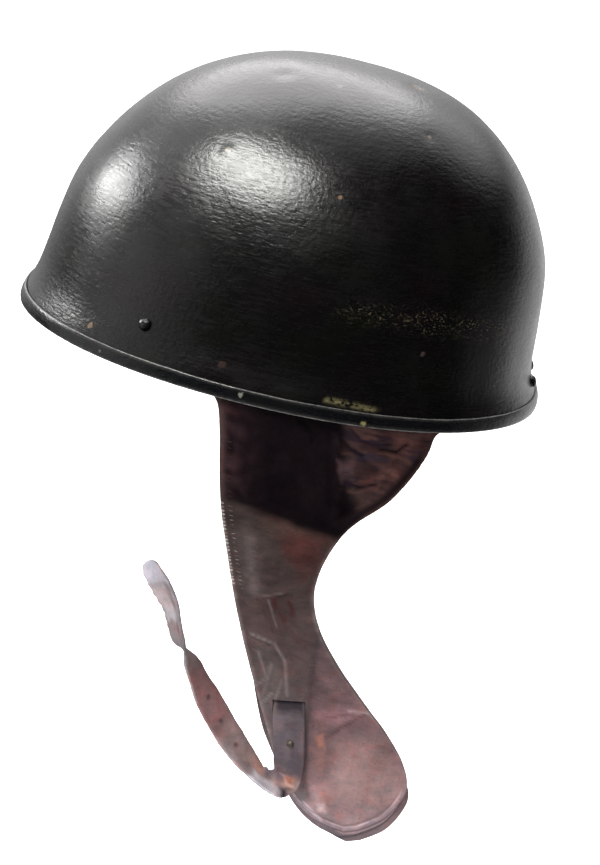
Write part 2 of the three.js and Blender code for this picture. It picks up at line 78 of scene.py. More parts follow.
# its section: inset from the shell's face, height, and how pale its edges are: paint rubbed off, with a
# painted highlight
BAND_SECTION = [
    (-0.08, BAND_TOP - 0.25, 0),
    (-0.3, BAND_TOP, 0),
    (BAND_OUT + 0.35, BAND_TOP, 0.3),
    (BAND_OUT + 0.08, BAND_TOP - 0.12, 1),
    (BAND_OUT, BAND_TOP - 0.45, 0.12),
    (BAND_OUT - 0.02, 5.2, 0),
    (BAND_OUT + 0.05, 3.6, 0),
    (BAND_OUT, 2, 0),
    (BAND_OUT, 0.4, 0.1),
    (BAND_OUT + 0.15, BAND_BOTTOM + 0.25, 1),
    (BAND_OUT + 0.6, BAND_BOTTOM, 0.25),
    (BAND_IN - 0.5, BAND_BOTTOM, 0),
    (BAND_IN - 0.1, BAND_BOTTOM + 0.15, 0),
    (BAND_IN, BAND_BOTTOM + 0.5, 0),
    (BAND_IN, BAND_INNER_TOP - 0.3, 0),
    (BAND_IN - 0.3, BAND_INNER_TOP, 0),
    (BAND_IN - BAND_SHEET, BAND_INNER_TOP, 0),
    (BAND_IN - BAND_SHEET, BAND_FLOOR, 0),
    (-GAP, BAND_FLOOR, 0),
    (-GAP, 2, 0),
    (-GAP, 4.5, 0),
]

# Ear flaps
LEATHER = 2.6
FLAP_INSET = BAND_IN + 0.4
MARGIN_ANGLES = (128.0, 2.5)
MARGIN_HEIGHTS = (30.0, 26.0, 22.0, 18.0, 14.0, 10.0, 6.6)
MARGIN_STEPS = 4
LOBE_FACE = 7.3
SWING_START = 5.0
SWING_LENGTH = 225.0
FLATTEN_LENGTH = 135.0
FAR_DROP = 11.5
FAR_NECK_IN = 8.0
FAR_LOBE_BACK = 4.0
FLAP_ROW_STEPS = 14
FLAP_COLUMNS = 92
EDGE_STEPS = 6

# the outline of a flap: front x, front z, rear x, rear z
FLAP_ROWS = [
    (-39.5, 4, 100, 4),
    (-27.5, -3, 86, -3.5),
    (-22.5, -18.5, 84, -11.5),
    (-19.5, -36, 79.5, -23),
    (-16.5, -54.5, 70, -40.5),
    (-12.5, -75, 53, -60.5),
    (-7.5, -96, 47.8, -79),
    (-2.5, -117.5, 44.3, -101),
    (3.5, -141.5, 45.5, -127),
    (11.8, -170, 54.5, -154.5),
    (21.5, -197.5, 71, -181),
    (31, -220, 89.5, -203),
    (40, -239, 107, -221),
    (48, -256, 120, -237),
    (55.5, -269, 126, -251.5),
    (66, -279.5, 123.5, -264),
    (77.5, -286, 117, -275.5),
    (88, -288.5, 110.5, -281.5),
    (95.5, -289.5, 103.5, -286.5),
]
SLOT = {"x": 46.7, "z": -214.8, "wide": 19.3, "high": 8.3, "tilt": 11}
# the flap is doubled up to this line: its left part stands a little proud of the lobe
STEP_LINE = [(-152, 52), (-165, 53), (-199, 56), (-231, 59.8), (-247, 63.2), (-262, 65.4), (-272, 69)]
STEP_RISE = 0.7
GROOVE_INSET = 3.7
# the lobe's lower rear hangs a little lower than in the solid
LOBE_SAG = 2.2

# Chin strap
STRAP_WIDTH = 19.0
STRAP_THICKNESS = 2.0
STRAP_TIP_ROWS = 2
STRAP_HOLE_ROWS = (14.6, 15.9, 17.1)
STRAP_HOLE_RADIUS = 0.6
HOLE_SLANT = 0.9
HOLE_SIDES = 24
STRAP_PATCH_SOFTNESS = 0.45
STRAP_STEPS = 12
STRAP_COLUMNS = 22
# x, y, z of its outer edge and x, y, z of its inner edge
STRAP_ROWS = [
    (51.5, -12.2, -187, 32, -10.8, -191.5),
    (53.5, -9, -196.5, 34, -7.7, -201),
    (55, -6.2, -207, 36, -5.2, -211.5),
    (56, -7.6, -212.5, 37.5, -7, -216),
    (57, -9.6, -217.5, 38.5, -9.3, -221),
    (59, -9, -226.5, 40, -8.9, -229.5),
    (61, -8.7, -237, 42, -8.7, -239),
    (63.5, -8.7, -247.5, 43.5, -8.7, -248),
    (65, -9.3, -259, 44.5, -9, -253.5),
    (64, -11.5, -265.5, 45, -11, -255.5),
    (56, -16, -269.5, 43.5, -11.5, -257),
    (47.5, -22, -265, 42, -9, -258.5),
    (40, -25, -260.5, 40, -8.5, -258.5),
    (31, -24.5, -255.5, 37, -8, -255),
    (20.5, -23.5, -249, 31.5, -9, -247.5),
    (11, -22.5, -240, 23.5, -10, -237.5),
    (2, -23.5, -229, 15, -11, -227),
    (-6.5, -25.5, -216, 6, -12, -215),
    (-12.5, -29, -202.5, -4, -12.5, -204),
    (-17.5, -31.5, -191, -11.5, -14, -194),
    (-18.5, -33, -183, -20, -15, -189),
    (-20.5, -33.5, -175, -26.5, -18, -185),
    (-23, -34, -168.5, -30, -19.5, -178.5),
    (-25.5, -34.5, -161, -33, -20.5, -171),
    (-28, -35, -153.5, -36.5, -22, -163.5),
    (-30.5, -36, -147.5, -41.5, -23.5, -157),
    (-35, -37, -140.5, -46.5, -26, -149),
    (-42.5, -36, -134.5, -50, -28.5, -139.5),
    (-47.5, -33, -131, -49.5, -31, -132.5),
]

# Camera: where it stands round the middle of the shell, what it looks at, roll and focal length
CAMERA = {"distance": 1045, "elevation": 14.02, "azimuth": 0.63, "roll": 12.56, "lens": 79.674}
CAMERA_PIVOT = (0.0, 0.0, 57.0)
CAMERA_TARGET = (18.13, 0.0, -49.7)

# Soft lights: azimuth and elevation they shine from, distance, width, height, power and colour
LIGHTS = [
    ("window", -129, 44.2, 2.2, 1.7, 0.66, 90, (0.99, 1, 0.955)),
    ("brow_window", 170, 12.5, 2.2, 1.2, 0.55, 38, (0.99, 1, 0.98)),
    ("sky", 114, 52, 2.8, 3.2, 3.2, 98, (1, 0.968, 0.985)),
]
# What the paint mirrors: a dim room with soft bright parts.
# Each has an azimuth, an elevation, the angle to which it is full, the angle where it ends, and a level.
ROOM_LEVEL = 0.014
ROOM = [
    (118, 40, 12, 70, 1.2),
    (50, 48, 6, 30, 1.4),
    (0, 90, 5, 36, 0.8),
    (50, -14, 8, 38, 1.1),
    (8, -10, 6, 24, 0.2),
    (-168, -8, 6, 32, 0.65),
    (-143, 2, 6, 26, 0.45),
    (172, 48, 8, 34, 1.2),
]
AROUND_LEVEL = 0.3
FLOOR_SIZE = 30.0
FLOOR_Z = -0.52


# Numbers


def metres(points):
    place = np.array(points, float)
    place[..., 2] += RIM_DROP
    return place / 1000.0


def smooth(t):
    s = np.clip(t, 0.0, 1.0)
    return s * s * (3.0 - 2.0 * s)


def mix(a, b, t):
    return a + (b - a) * t


def bell(x, width, centre=0.0):
    """1 at the centre, near 0 from two widths on."""
    return np.exp(-(((x - centre) / width) ** 2))


def unit(vectors):
    return vectors / np.maximum(np.linalg.norm(vectors, axis=-1, keepdims=True), 1e-9)


def lay(tones, amount, colour):
    """Lays a colour over the tones, as strong as amount says at each point."""
    return mix(tones, np.array(colour), np.clip(amount, 0.0, 1.0)[:, None])


def field(points, scale, seed=0.0):
    """Smooth noise from -1 to 1 at each point; scale is the size of a patch in mm."""
    points = np.asarray(points, float)
    shift = Vector((seed * 7.3, seed * 3.1, seed * 5.7))
    values = [noise.noise(Vector(p) + shift) for p in points.reshape(-1, 3) / scale]
    return np.array(values).reshape(points.shape[:-1])


def distance_to(x, z, line):
    """Distance of each point from a line of points in x and z."""
    best = np.full(np.shape(x), 1e9)
    for (x0, z0), (x1, z1) in zip(line[:-1], line[1:]):
        dx, dz = x1 - x0, z1 - z0
        t = np.clip(((x - x0) * dx + (z - z0) * dz) / max(dx * dx + dz * dz, 1e-9), 0.0, 1.0)
        best = np.minimum(best, np.hypot(x - x0 - t * dx, z - z0 - t * dz))
    return best


def crease(x, z, line, width):
    """How near each point is to a line of points in x and z: 1 on it, 0 far from it."""
    return bell(distance_to(x, z, line), width)


def inside_area(x, z, outline, soft):
    """1 inside a closed outline of points in x and z, 0 outside it, with a soft border."""
    closed = outline + outline[:1]
    inside = np.zeros(np.shape(x), bool)
    for (x0, z0), (x1, z1) in zip(closed[:-1], closed[1:]):
        spans = (z0 > z) != (z1 > z)
        inside ^= spans & (x < x0 + (x1 - x0) * (z - z0) / ((z1 - z0) or 1e-9))
    away = distance_to(x, z, closed)
    return smooth(0.5 + np.where(inside, away, -away) / (2 * soft))


def centripetal(points, steps):
    """Points on a centripetal curve through the given ones, steps in each span."""
    pts = np.asarray(points, float)
    full = np.vstack([2 * pts[0] - pts[1], pts, 2 * pts[-1] - pts[-2]])
    out = []
    for i in range(len(pts) - 1):
        p0, p1, p2, p3 = full[i : i + 4]
        d0, d1, d2 = (max(np.linalg.norm(b - a) ** 0.5, 1e-4) for a, b in ((p0, p1), (p1, p2), (p2, p3)))
        t1 = ((p1 - p0) / d0 - (p2 - p0) / (d0 + d1) + (p2 - p1) / d1) * d1
        t2 = ((p2 - p1) / d1 - (p3 - p1) / (d1 + d2) + (p3 - p2) / d2) * d1
        for s in np.arange(steps) / steps:
            a = 2 * p1 - 2 * p2 + t1 + t2
            b = -3 * p1 + 3 * p2 - 2 * t1 - t2
            out.append(a * s**3 + b * s**2 + t1 * s + p1)
    out.append(pts[-1])
    return np.array(out)


# Meshes


def place_in_scene(name, data):
    holder = bpy.data.objects.new(name, data)
    bpy.context.scene.collection.objects.link(holder)
    return holder


def grid_faces(grid, closed=False):
    """Four-sided faces between the rows of a grid of point numbers; closed joins the ends of each row."""
    if closed:
        grid = np.hstack([grid, grid[:, :1]])
    a, b = grid[:-1], grid[1:]
    return np.stack([a[:, :-1], a[:, 1:], b[:, 1:], b[:, :-1]], -1).reshape(-1, 4).tolist()


def make_object(name, points, faces, smooth_shade=True):
    """A closed piece from points in millimetres, with its faces turned outwards."""
    mesh = bpy.data.meshes.new(name)
    mesh.from_pydata(metres(points).tolist(), [], faces)
    work = bmesh.new()
    work.from_mesh(mesh)
    bmesh.ops.recalc_face_normals(work, faces=work.faces)
    for face in work.faces:
        face.smooth = smooth_shade
    work.to_mesh(mesh)
    work.free()
    return place_in_scene(name, mesh)


def add_attribute(piece, name, values):
    """A number, or a colour of three, for each point of a piece."""
    values = np.asarray(values, float)
    if values.ndim == 1:
        piece.data.attributes.new(name, "FLOAT", "POINT").data.foreach_set("value", values)
        return
    colours = np.concatenate([values, np.ones((len(values), 1))], axis=1)
    piece.data.attributes.new(name, "FLOAT_COLOR", "POINT").data.foreach_set("color", colours.ravel())


def points_of(piece):
    """The piece's points in millimetres, with the rim at height 0."""
    flat = np.empty(3 * len(piece.data.vertices))
    piece.data.vertices.foreach_get("co", flat)
    points = flat.reshape(-1, 3) * 1000.0
    points[:, 2] -= RIM_DROP
    return points


def apply_modifiers(piece):
    bpy.context.view_layer.update()
    evaluated = piece.evaluated_get(bpy.context.evaluated_depsgraph_get())
    mesh = bpy.data.meshes.new_from_object(evaluated)
    piece.modifiers.clear()
    piece.data = mesh
    mesh.polygons.foreach_set("use_smooth", [True] * len(mesh.polygons))


def subtract(piece, cutters):
    for cutter in cutters:
        modifier = piece.modifiers.new("cut", "BOOLEAN")
        modifier.operation = "DIFFERENCE"
        modifier.solver = "EXACT"
        modifier.object = cutter
    apply_modifiers(piece)
    for cutter in cutters:
        bpy.data.objects.remove(cutter)


def join(piece, other):
    """Adds another piece's mesh to a piece; its points come last."""
    work = bmesh.new()
    work.from_mesh(piece.data)
    work.from_mesh(other.data)
    work.to_mesh(piece.data)
    work.free()
    bpy.data.objects.remove(other)


# Shell and band


def reach_at(side, z, inset=0.0):
    reach, power, flare, flare_start, flare_height, bulge = PROFILE[side]
    level = np.clip(z / (SHELL_HEIGHT - inset), 0.0, 1.0)
    dome = (reach - inset) * (1.0 - level**power) ** (1.0 / power)
    dome = dome + bulge * bell(z, BULGE_SPREAD, BULGE_HEIGHT)
    return dome + flare * np.exp(-((np.maximum(z - flare_start, 0.0) / flare_height) ** 1.5))


def wall_point(angle, z, inset=0.0):
    """Points of the shell at plan angles in degrees from the nape, and heights."""
    c, s = np.cos(np.radians(angle)), np.sin(np.radians(angle))
    length = np.where(c < 0, reach_at("front", z, inset), reach_at("rear", z, inset))
    half = reach_at("side", z, inset) * (1.0 + EGG * c)
    x = length * np.sign(c) * np.abs(c) ** (2.0 / PLAN_POWER)
    y = half * np.sign(s) * np.abs(s) ** (2.0 / PLAN_POWER)
    return np.stack(np.broadcast_arrays(x, y, z), -1)


# x, y, z, width and depth of the dents; a negative depth stands proud
SHELL_DENTS = [
    (-29.2, -37.6, 150.7, 6, 0.8),
    (-47.6, -78, 114.6, 2.2, -0.7),
    (38.3, -13.2, 155, 4, 0.7),
    (49.2, -55, 138.5, 2.5, 0.4),
    (68.9, -96.1, 39.1, 3, 0.35),
    (-62, -92, 62, 13, 0.7),
    (90, -70, 70, 16, 0.7),
]
# a scrape over the rim in x and z, and the outline of a field of specks
SCRAPE = [(27, 10.2), (36, 9.8), (51, 8.6)]
SPECKS = [(22, 51), (60, 50), (108, 47), (112, 56), (66, 61), (24, 60)]


def make_shell():
    angles = np.arange(SHELL_STEPS) * 360.0 / SHELL_STEPS
    start = math.asin(LOW_HEIGHT / SHELL_HEIGHT)
    top = np.sin(np.linspace(start, math.pi / 2, DOME_RINGS)[:-1])
    points, faces, rims = [], [], []
    for inset in (0.0, WALL):
        low = np.linspace(SHELL_EDGE_Z, LOW_HEIGHT * (1 - inset / SHELL_HEIGHT), LOW_RINGS)[:-1]
        heights = np.concatenate([low, top * (SHELL_HEIGHT - inset)])
        skin = np.array([wall_point(angles, z, inset) for z in heights])
        grid = np.arange(skin.size // 3).reshape(-1, SHELL_STEPS) + len(points)
        points += skin.reshape(-1, 3).tolist() + [[0.0, 0.0, SHELL_HEIGHT - inset]]
        tip = len(points) - 1
        faces += grid_faces(grid, True)
        faces += [(p, q, tip) for p, q in zip(grid[-1].tolist(), np.roll(grid[-1], -1).tolist())]
        rims.append(grid[0])
    faces += grid_faces(np.array(rims), True)
    points = np.array(points)
    # hammered and knocked steel: soft waves well under a millimetre, and a few dents
    wave = 0.28 * field(points, 34.0, 1) + 0.12 * field(points, 13.0, 2)
    for *middle, width, depth in SHELL_DENTS:
        wave -= depth * bell(np.linalg.norm(points - middle, axis=1), width)
    outward = unit(points / (1.0, 0.8, 1.3))
    points += outward * (wave * smooth(points[:, 2] / 14.0))[:, None]
    piece = make_object("helmet_shell", points, faces)
    x, y, z = points.T
    near_side = smooth(-y / 10.0)
    add_attribute(piece, "scrape", crease(x, z, SCRAPE, 1.1) * near_side)
    add_attribute(piece, "specks", inside_area(x, z, SPECKS, 4.0) * near_side)
    add_attribute(piece, "inner", np.repeat([0.0, 1.0], len(points) // 2))
    return piece


def make_band():
    angles = np.arange(BAND_STEPS) * 360.0 / BAND_STEPS
    inset, height, edge_wear_and_highlight = np.array(BAND_SECTION).T
    rows = np.array([wall_point(angles, z, at) for at, z in zip(inset, height)])
    # a strip bent round by hand: its edge waves a little
    wave = np.maximum(0.22 * field(rows, 21.0, 4) + 0.1 * field(rows, 6.0, 5), -0.1)
    outer = (inset < 0) & (height > 1)
    rows += unit(rows * (1, 1, 0)) * (wave * outer[:, None])[..., None]
    lift = (height > BAND_TOP - 0.5)[:, None]
    rows[..., 2] += lift * (0.25 * field(rows, 30.0, 6) + 0.1 * field(rows, 5.0, 7))
    grid = np.arange(rows.size // 3).reshape(-1, BAND_STEPS)
    piece = make_object("rim_edge", rows.reshape(-1, 3), grid_faces(np.vstack([grid, grid[:1]]), True))
    add_attribute(piece, "edge_wear_and_highlight", np.repeat(edge_wear_and_highlight, BAND_STEPS))
    add_attribute(piece, "inner", np.repeat(inset >= 1, BAND_STEPS))
    return piece


# Ear flaps


def flap_reach(x, z):
    """How far the flap's face stands from the middle plane."""
    front, rear, side = (reach_at(name, BAND_INNER_TOP, FLAP_INSET) for name in ("front", "rear", "side"))

    def wall(at):
        c = np.sign(at) * np.minimum(np.abs(at) / np.where(at < 0, front, rear), 1.0) ** (PLAN_POWER / 2)
        return side * (1 + EGG * c) * np.sqrt(np.maximum(1 - c * c, 0.0)) ** (2.0 / PLAN_POWER)

    upper = mix(wall(x), wall(np.zeros_like(x)), smooth(-z / FLATTEN_LENGTH))
    return mix(upper, LOBE_FACE, smooth((-z - SWING_START) / SWING_LENGTH))


def between(z, top, bottom):
    return smooth((top - z) / 14.0) * smooth((z - bottom) / 22.0)


def flap_relief(x, z, from_rear):
    """The fold down the upper part and the curl of the rear edge."""
    fold = 4.0 * bell(x, 13.0, 40.0) * between(z, -4.0, -78.0)
    curl = 5.0 * smooth(1 - from_rear / 14.0) * between(z, -4.0, -84.0)
    return fold + curl


def flap_edges(steps):
    """The front and rear edges of a flap as points in x and z."""
    rows = np.array(FLAP_ROWS, float)
    return centripetal(rows[:, :2], steps), centripetal(rows[:, 2:], steps)


def flap_rows(far):
    """The flap's smooth face, row by row from the top of its hidden margin to the lobe."""
    across = np.linspace(0.0, 1.0, FLAP_COLUMNS + 1)
    across = np.concatenate([[0.0, 0.004, 0.009], across[1:-1], [0.991, 0.996, 1.0]])
    front, rear = flap_edges(FLAP_ROW_STEPS)
    if far:
        for edge, neck_in in ((front, 0.0), (rear, FAR_NECK_IN)):
            z = edge[:, 1]
            neck = neck_in * smooth((-z - 90) / 50) * smooth((z + 240) / 45)
            edge[:, 0] += FAR_LOBE_BACK * smooth((-z - 225) / 35) - neck
    x, z = (front[:, None] + (rear - front)[:, None] * across[:, None]).transpose(2, 0, 1)
    from_rear = np.linalg.norm(rear - front, axis=1)[:, None] * (1 - across)
    face = np.stack([x, -flap_reach(x, z) - flap_relief(x, z, from_rear), z], -1)
    angles = -mix(*MARGIN_ANGLES, across)
    margin = [wall_point(angles, height, FLAP_INSET) for height in MARGIN_HEIGHTS]
    margin += [mix(margin[-1], face[0], k / MARGIN_STEPS) for k in range(1, MARGIN_STEPS)]
    rows = np.concatenate([np.array(margin), face])
    rows[..., 2] -= LOBE_SAG * smooth((rows[..., 0] - 84.0) / 18.0) * smooth((-rows[..., 2] - 250.0) / 28.0)
    if far:
        rows[..., 2] -= FAR_DROP * smooth((-rows[..., 2] - 40) / 180)
    return rows


def right_of_step(x, z, spread=1.6):
    """1 on the lobe's side of the step line and 0 on the strap's side."""
    heights, places = np.array(STEP_LINE, float).T
    return smooth((x - np.interp(-z, -heights, places)) / spread + 0.5)


# near-black painted shade: the shell's shadow on the flap, and shade in pressed creases and at the curled
# rear edge
PAINTED_SHADE = (0.0029, 0.0014, 0.0024)
UMBER = (0.0205, 0.0080, 0.0077)
UMBER_LIGHT = (0.052, 0.0215, 0.0175)
OXBLOOD = (0.034, 0.0095, 0.0085)
RED_BROWN = (0.034, 0.018, 0.014)
DUSTY = (0.062, 0.05, 0.049)
ROSE = (0.098, 0.058, 0.062)
ROSE_LIGHT = (0.172, 0.114, 0.108)
ORANGE = (0.23, 0.095, 0.06)
PALE = (0.34, 0.27, 0.29)
THREAD = (0.24, 0.225, 0.215)
THREAD_DARK = (0.014, 0.008, 0.008)

# creases of the near flap: points in x and z, width, height (below 0 it is pressed in),
# and for a crease with a colour of its own the colour's width, the colour and its strength
FLAP_CREASES = [
    ([(16, -164), (30, -168), (38, -180), (42, -198), (44, -207)], 1.3, 0.8, 1, (0.12, 0.1, 0.1), 0.55),
    ([(39, -175), (50, -179)], 1.2, -0.6),
    ([(22, -178), (26, -187), (30, -197)], 1.3, 0.45, 0.9, (0.11, 0.09, 0.09), 0.5),
    ([(25, -180), (32, -192), (37, -205)], 1.8, -0.55),
    ([(30, -212), (31, -196), (31, -185)], 1.2, 0.4, 0.8, (0.12, 0.1, 0.1), 0.45),
    ([(38, -212), (39, -196)], 1.1, 0.35, 0.8, (0.12, 0.1, 0.1), 0.45),
    # pressed-in creases darkened with painted shade
    ([(73, -231), (83, -218), (91, -209)], 1.4, -0.75, 0.9, (0.055, 0.026, 0.028), 0.8),
    ([(69, -218), (78, -213), (92, -206)], 1.4, -0.6, 0.9, (0.06, 0.03, 0.032), 0.7),
    ([(71, -226), (80, -216), (90, -211)], 1.8, 0.5),
    ([(82, -209), (93, -207), (100, -212)], 1.6, 0.4, 1, (0.24, 0.18, 0.18), 0.5),
    ([(78, -240), (92, -232), (108, -228)], 2, 0.3),
    ([(37, -8), (43, -33), (46, -60)], 2.6, 1),
    ([(33, -6), (37, -26), (42, -50)], 2.2, -0.9),
    # pressed-in creases inside the painted shadow, darkened further with painted shade
    ([(36, -5), (39, -10), (44, -14), (51, -17)], 1, -1, 0.9, PAINTED_SHADE, 0.95),
    ([(59, -13), (67, -14), (72, -9)], 1, -1, 0.8, PAINTED_SHADE, 0.95),
    ([(45, -33), (53, -36), (61, -33)], 1.1, -0.9, 0.9, PAINTED_SHADE, 0.9),
    ([(42, -4), (48, -9), (55, -11), (63, -10)], 0.9, -0.8, 0.7, PAINTED_SHADE, 0.85),
    ([(40, -21), (47, -25), (50, -32)], 1.8, 0.8),
    ([(56, -20), (64, -23), (72, -22)], 1.5, 0.8),
    ([(50, -29), (57, -31), (64, -29)], 1.4, 0.7),
    ([(48, -4), (57, -7), (66, -5)], 1.6, 0.8),
    ([(14, -131), (31, -122)], 1, 0.35),
    ([(15, -132), (27, -157)], 1, -0.35),
    ([(21, -132), (29, -154)], 0.9, 0.3, 0.6, (0.09, 0.075, 0.075), 0.5),
    ([(24, -130), (28, -141)], 1.2, -0.4),
    ([(31, -142), (35, -149)], 1.2, -0.35),
    ([(32, -128), (37, -141)], 1.2, -0.35),
    ([(25, -204), (29, -199)], 1, 0.3, 0.8, (0.14, 0.12, 0.12), 0.5),
    ([(31, -216), (35, -208)], 1, 0.3, 0.8, (0.14, 0.12, 0.12), 0.5),
]
# where the strap lies on the flap, and the wrinkled part of it, in x and z
STRAP_REST = [(46, -212), (50, -228), (54, -248), (50, -262)]
CRUMPLE_AREA = [(36, 4), (90, 4), (84, -14), (78, -27), (66, -40), (54, -48), (45, -40), (41, -20)]


def crumple_ridges(x, z):
    """Small cross wrinkles of the pressed leather behind the fold, from -1 to 1."""
    spread = np.stack([x * 0.28, np.zeros_like(x), z + 0.12 * x], -1)
    return 0.7 * field(spread, 3.2, 15) + 0.5 * field(spread, 1.4, 17)


def leather_detail(rows, far):
    """Height of the leather's own waves and creases over the smooth face, in mm."""
    x, z = rows[..., 0], rows[..., 2]
    height = 0.4 * field(rows, 26.0, 11 + far) + 0.24 * field(rows, 9.0, 12 + far)
    height += 0.08 * field(rows, 3.2, 13 + far)
    front, rear = flap_edges(EDGE_STEPS)
    edge = distance_to(x, z, np.concatenate([front, rear[::-1]]))
    height += smooth((-z - 262) / 14.0) * (0.35 * bell(edge, 1.4, 1.4) - 0.5 * bell(edge, 0.8, GROOVE_INSET))
    if not far:
        for line, width, rise, *_ in FLAP_CREASES:
            height += rise * crease(x, z, line, width)
        height += 0.95 * inside_area(x, z, CRUMPLE_AREA, 5.0) * crumple_ridges(x, z)
        step = smooth((-z - 150) / 25.0) * (1 - smooth((-z - 258) / 14.0))
        height += STEP_RISE * step * (0.5 - right_of_step(x, z))
        # the strap lies on this stretch, so the leather stays flat there
        flat = smooth(crease(x, z, STRAP_REST, 16.0) * 1.8)
        height = np.where(height > 0, height * (1 - flat), height)
    return height * smooth((-z - 2) / 12.0)


def make_flap(name, far):
    rows = flap_rows(far)
    height = leather_detail(rows, far)[..., None]
    normal = unit(np.cross(np.gradient(rows, axis=1), np.gradient(rows, axis=0)))
    if normal[len(rows) // 2, rows.shape[1] // 2, 1] > 0:
        normal = -normal
    skins = np.stack([rows + normal * height, rows - normal * (LEATHER - 0.5 * height)])
    if far:
        skins[..., 1] *= -1
    grid = np.arange(height.size).reshape(rows.shape[:2])
    faces = grid_faces(grid) + grid_faces(grid + grid.size)
    for edge in (grid[0], grid[-1], grid[:, 0], grid[:, -1]):
        faces += grid_faces(np.stack([edge, edge + grid.size]))
    piece = make_object(name, skins.reshape(-1, 3), faces)
    if far:
        add_attribute(piece, "tone", far_tones(points_of(piece)))
        return piece
    subtract(piece, [slot_cutter()])
    thread = make_stitches()
    tones = np.concatenate([near_tones(points_of(piece)), thread_tones(points_of(thread))])
    join(piece, thread)
    add_attribute(piece, "tone", tones)
    return piece


def slot_cutter():
    half = np.array([SLOT["wide"], 30.0, SLOT["high"]]) / 2
    corners = np.array([(i, j, k) for i in (-1, 1) for j in (-1, 1) for k in (-1, 1)]) * half
    turn = Matrix.Rotation(-math.radians(SLOT["tilt"]), 3, "Y")
    corners = np.array([turn @ Vector(c) for c in corners]) + (SLOT["x"], -LOBE_FACE, SLOT["z"])
    faces = [(0, 1, 3, 2), (4, 6, 7, 5), (0, 4, 5, 1), (2, 3, 7, 6), (0, 2, 6, 4), (1, 5, 7, 3)]
    return make_object("slot_cutter", corners, faces, False)


# Stitches

# distance from the front edge, upper and lower height, spacing, size and turn of the stitches
STITCH_ROWS = [
    (1, -60, -124, 2.7, (2, 0.95, 0.45), 0),
    (5.2, -20, -128, 3.4, (2.3, 0.4, 0.24), 1.35),
]
STITCH_SIDES = 8
STITCH_RINGS = 5
STITCH_LIFT = 0.12
# above this height a part of the stitches is gone
WORN_THREAD_Z = -64.0


def make_stitches():
    """The thread along the near flap's front edge."""
    front, _ = flap_edges(30)
    along = unit(np.gradient(front, axis=0))
    inward = np.stack([-along[:, 1], along[:, 0]], -1)
    run = np.concatenate([[0.0], np.cumsum(np.linalg.norm(np.diff(front, axis=0), axis=1))])
    points, faces = [], []
    for inset, top, bottom, spacing, size, turned in STITCH_ROWS:
        line = front + inward * inset
        first, last = (run[np.argmax(line[:, 1] < height)] for height in (top, bottom))
        for k, place in enumerate(np.arange(first, last, spacing)):
            at = np.array([np.interp(place, run, line[:, c]) for c in (0, 1)])
            way = np.array([np.interp(place, run, along[:, c]) for c in (0, 1)])
            if at[1] > WORN_THREAD_Z and k % 3 == 0:
                continue
            turn = turned + 0.2 * math.sin(k * 2.4)
            c, s = math.cos(turn), math.sin(turn)
            loops = stitch_loops(at, np.array([way[0] * c - way[1] * s, way[0] * s + way[1] * c]), *size)
            grid = np.arange(loops.size // 3).reshape(-1, STITCH_SIDES) + len(points)
            points += loops.reshape(-1, 3).tolist()
            faces += grid_faces(grid, True) + [grid[0].tolist(), grid[-1].tolist()]
    return make_object("thread", points, faces)


def stitch_loops(at, way, length, wide, high):
    """The rings of points of one stitch that lies on the near flap."""
    spots = near_face(np.array([at, at + way * 0.5, at + (0.5, 0.0), at + (0.0, 0.5)]))
    u = unit(spots[1] - spots[0])
    normal = unit(np.cross(spots[2] - spots[0], spots[3] - spots[0]))
    normal *= -np.sign(normal[1])
    angles = np.arange(STITCH_SIDES) * 2 * math.pi / STITCH_SIDES
    ring = np.outer(np.cos(angles) * wide, np.cross(normal, u)) + np.outer(np.sin(angles) * high, normal)
    loops = []
    for t in np.linspace(-1, 1, STITCH_RINGS + 1):
        thick = math.sqrt(max(1 - t * t, 0.06))
        loops.append(spots[0] + u * t * length / 2 + ring * thick + normal * STITCH_LIFT)
    return np.array(loops)


def near_face(spots):
    """Points of the near flap's face at the given x and z."""
    x, z = spots.T
    points = np.stack([x, -flap_reach(x, z) - flap_relief(x, z, 99.0), z], -1)
    points[:, 1] -= leather_detail(points, False)
    return points


# Colours of the flaps

# down the flap: height, then the colour on the strap's side and on the lobe's side
FLAP_TONES = [
    (0, (0.030, 0.018, 0.017), (0.030, 0.018, 0.017)),
    (-60, (0.0225, 0.0152, 0.0134), (0.0255, 0.0132, 0.0106)),
    (-110, (0.0255, 0.0168, 0.016), (0.0308, 0.0178, 0.0153)),
    (-150, (0.0425, 0.0275, 0.0265), (0.0385, 0.024, 0.0232)),
    (-185, (0.0455, 0.0295, 0.030), (0.0555, 0.032, 0.0335)),
    (-215, (0.055, 0.042, 0.045), (0.080, 0.045, 0.0495)),
    (-250, (0.078, 0.060, 0.065), (0.122, 0.075, 0.080)),
    (-290, (0.12, 0.097, 0.104), (0.148, 0.104, 0.109)),
]

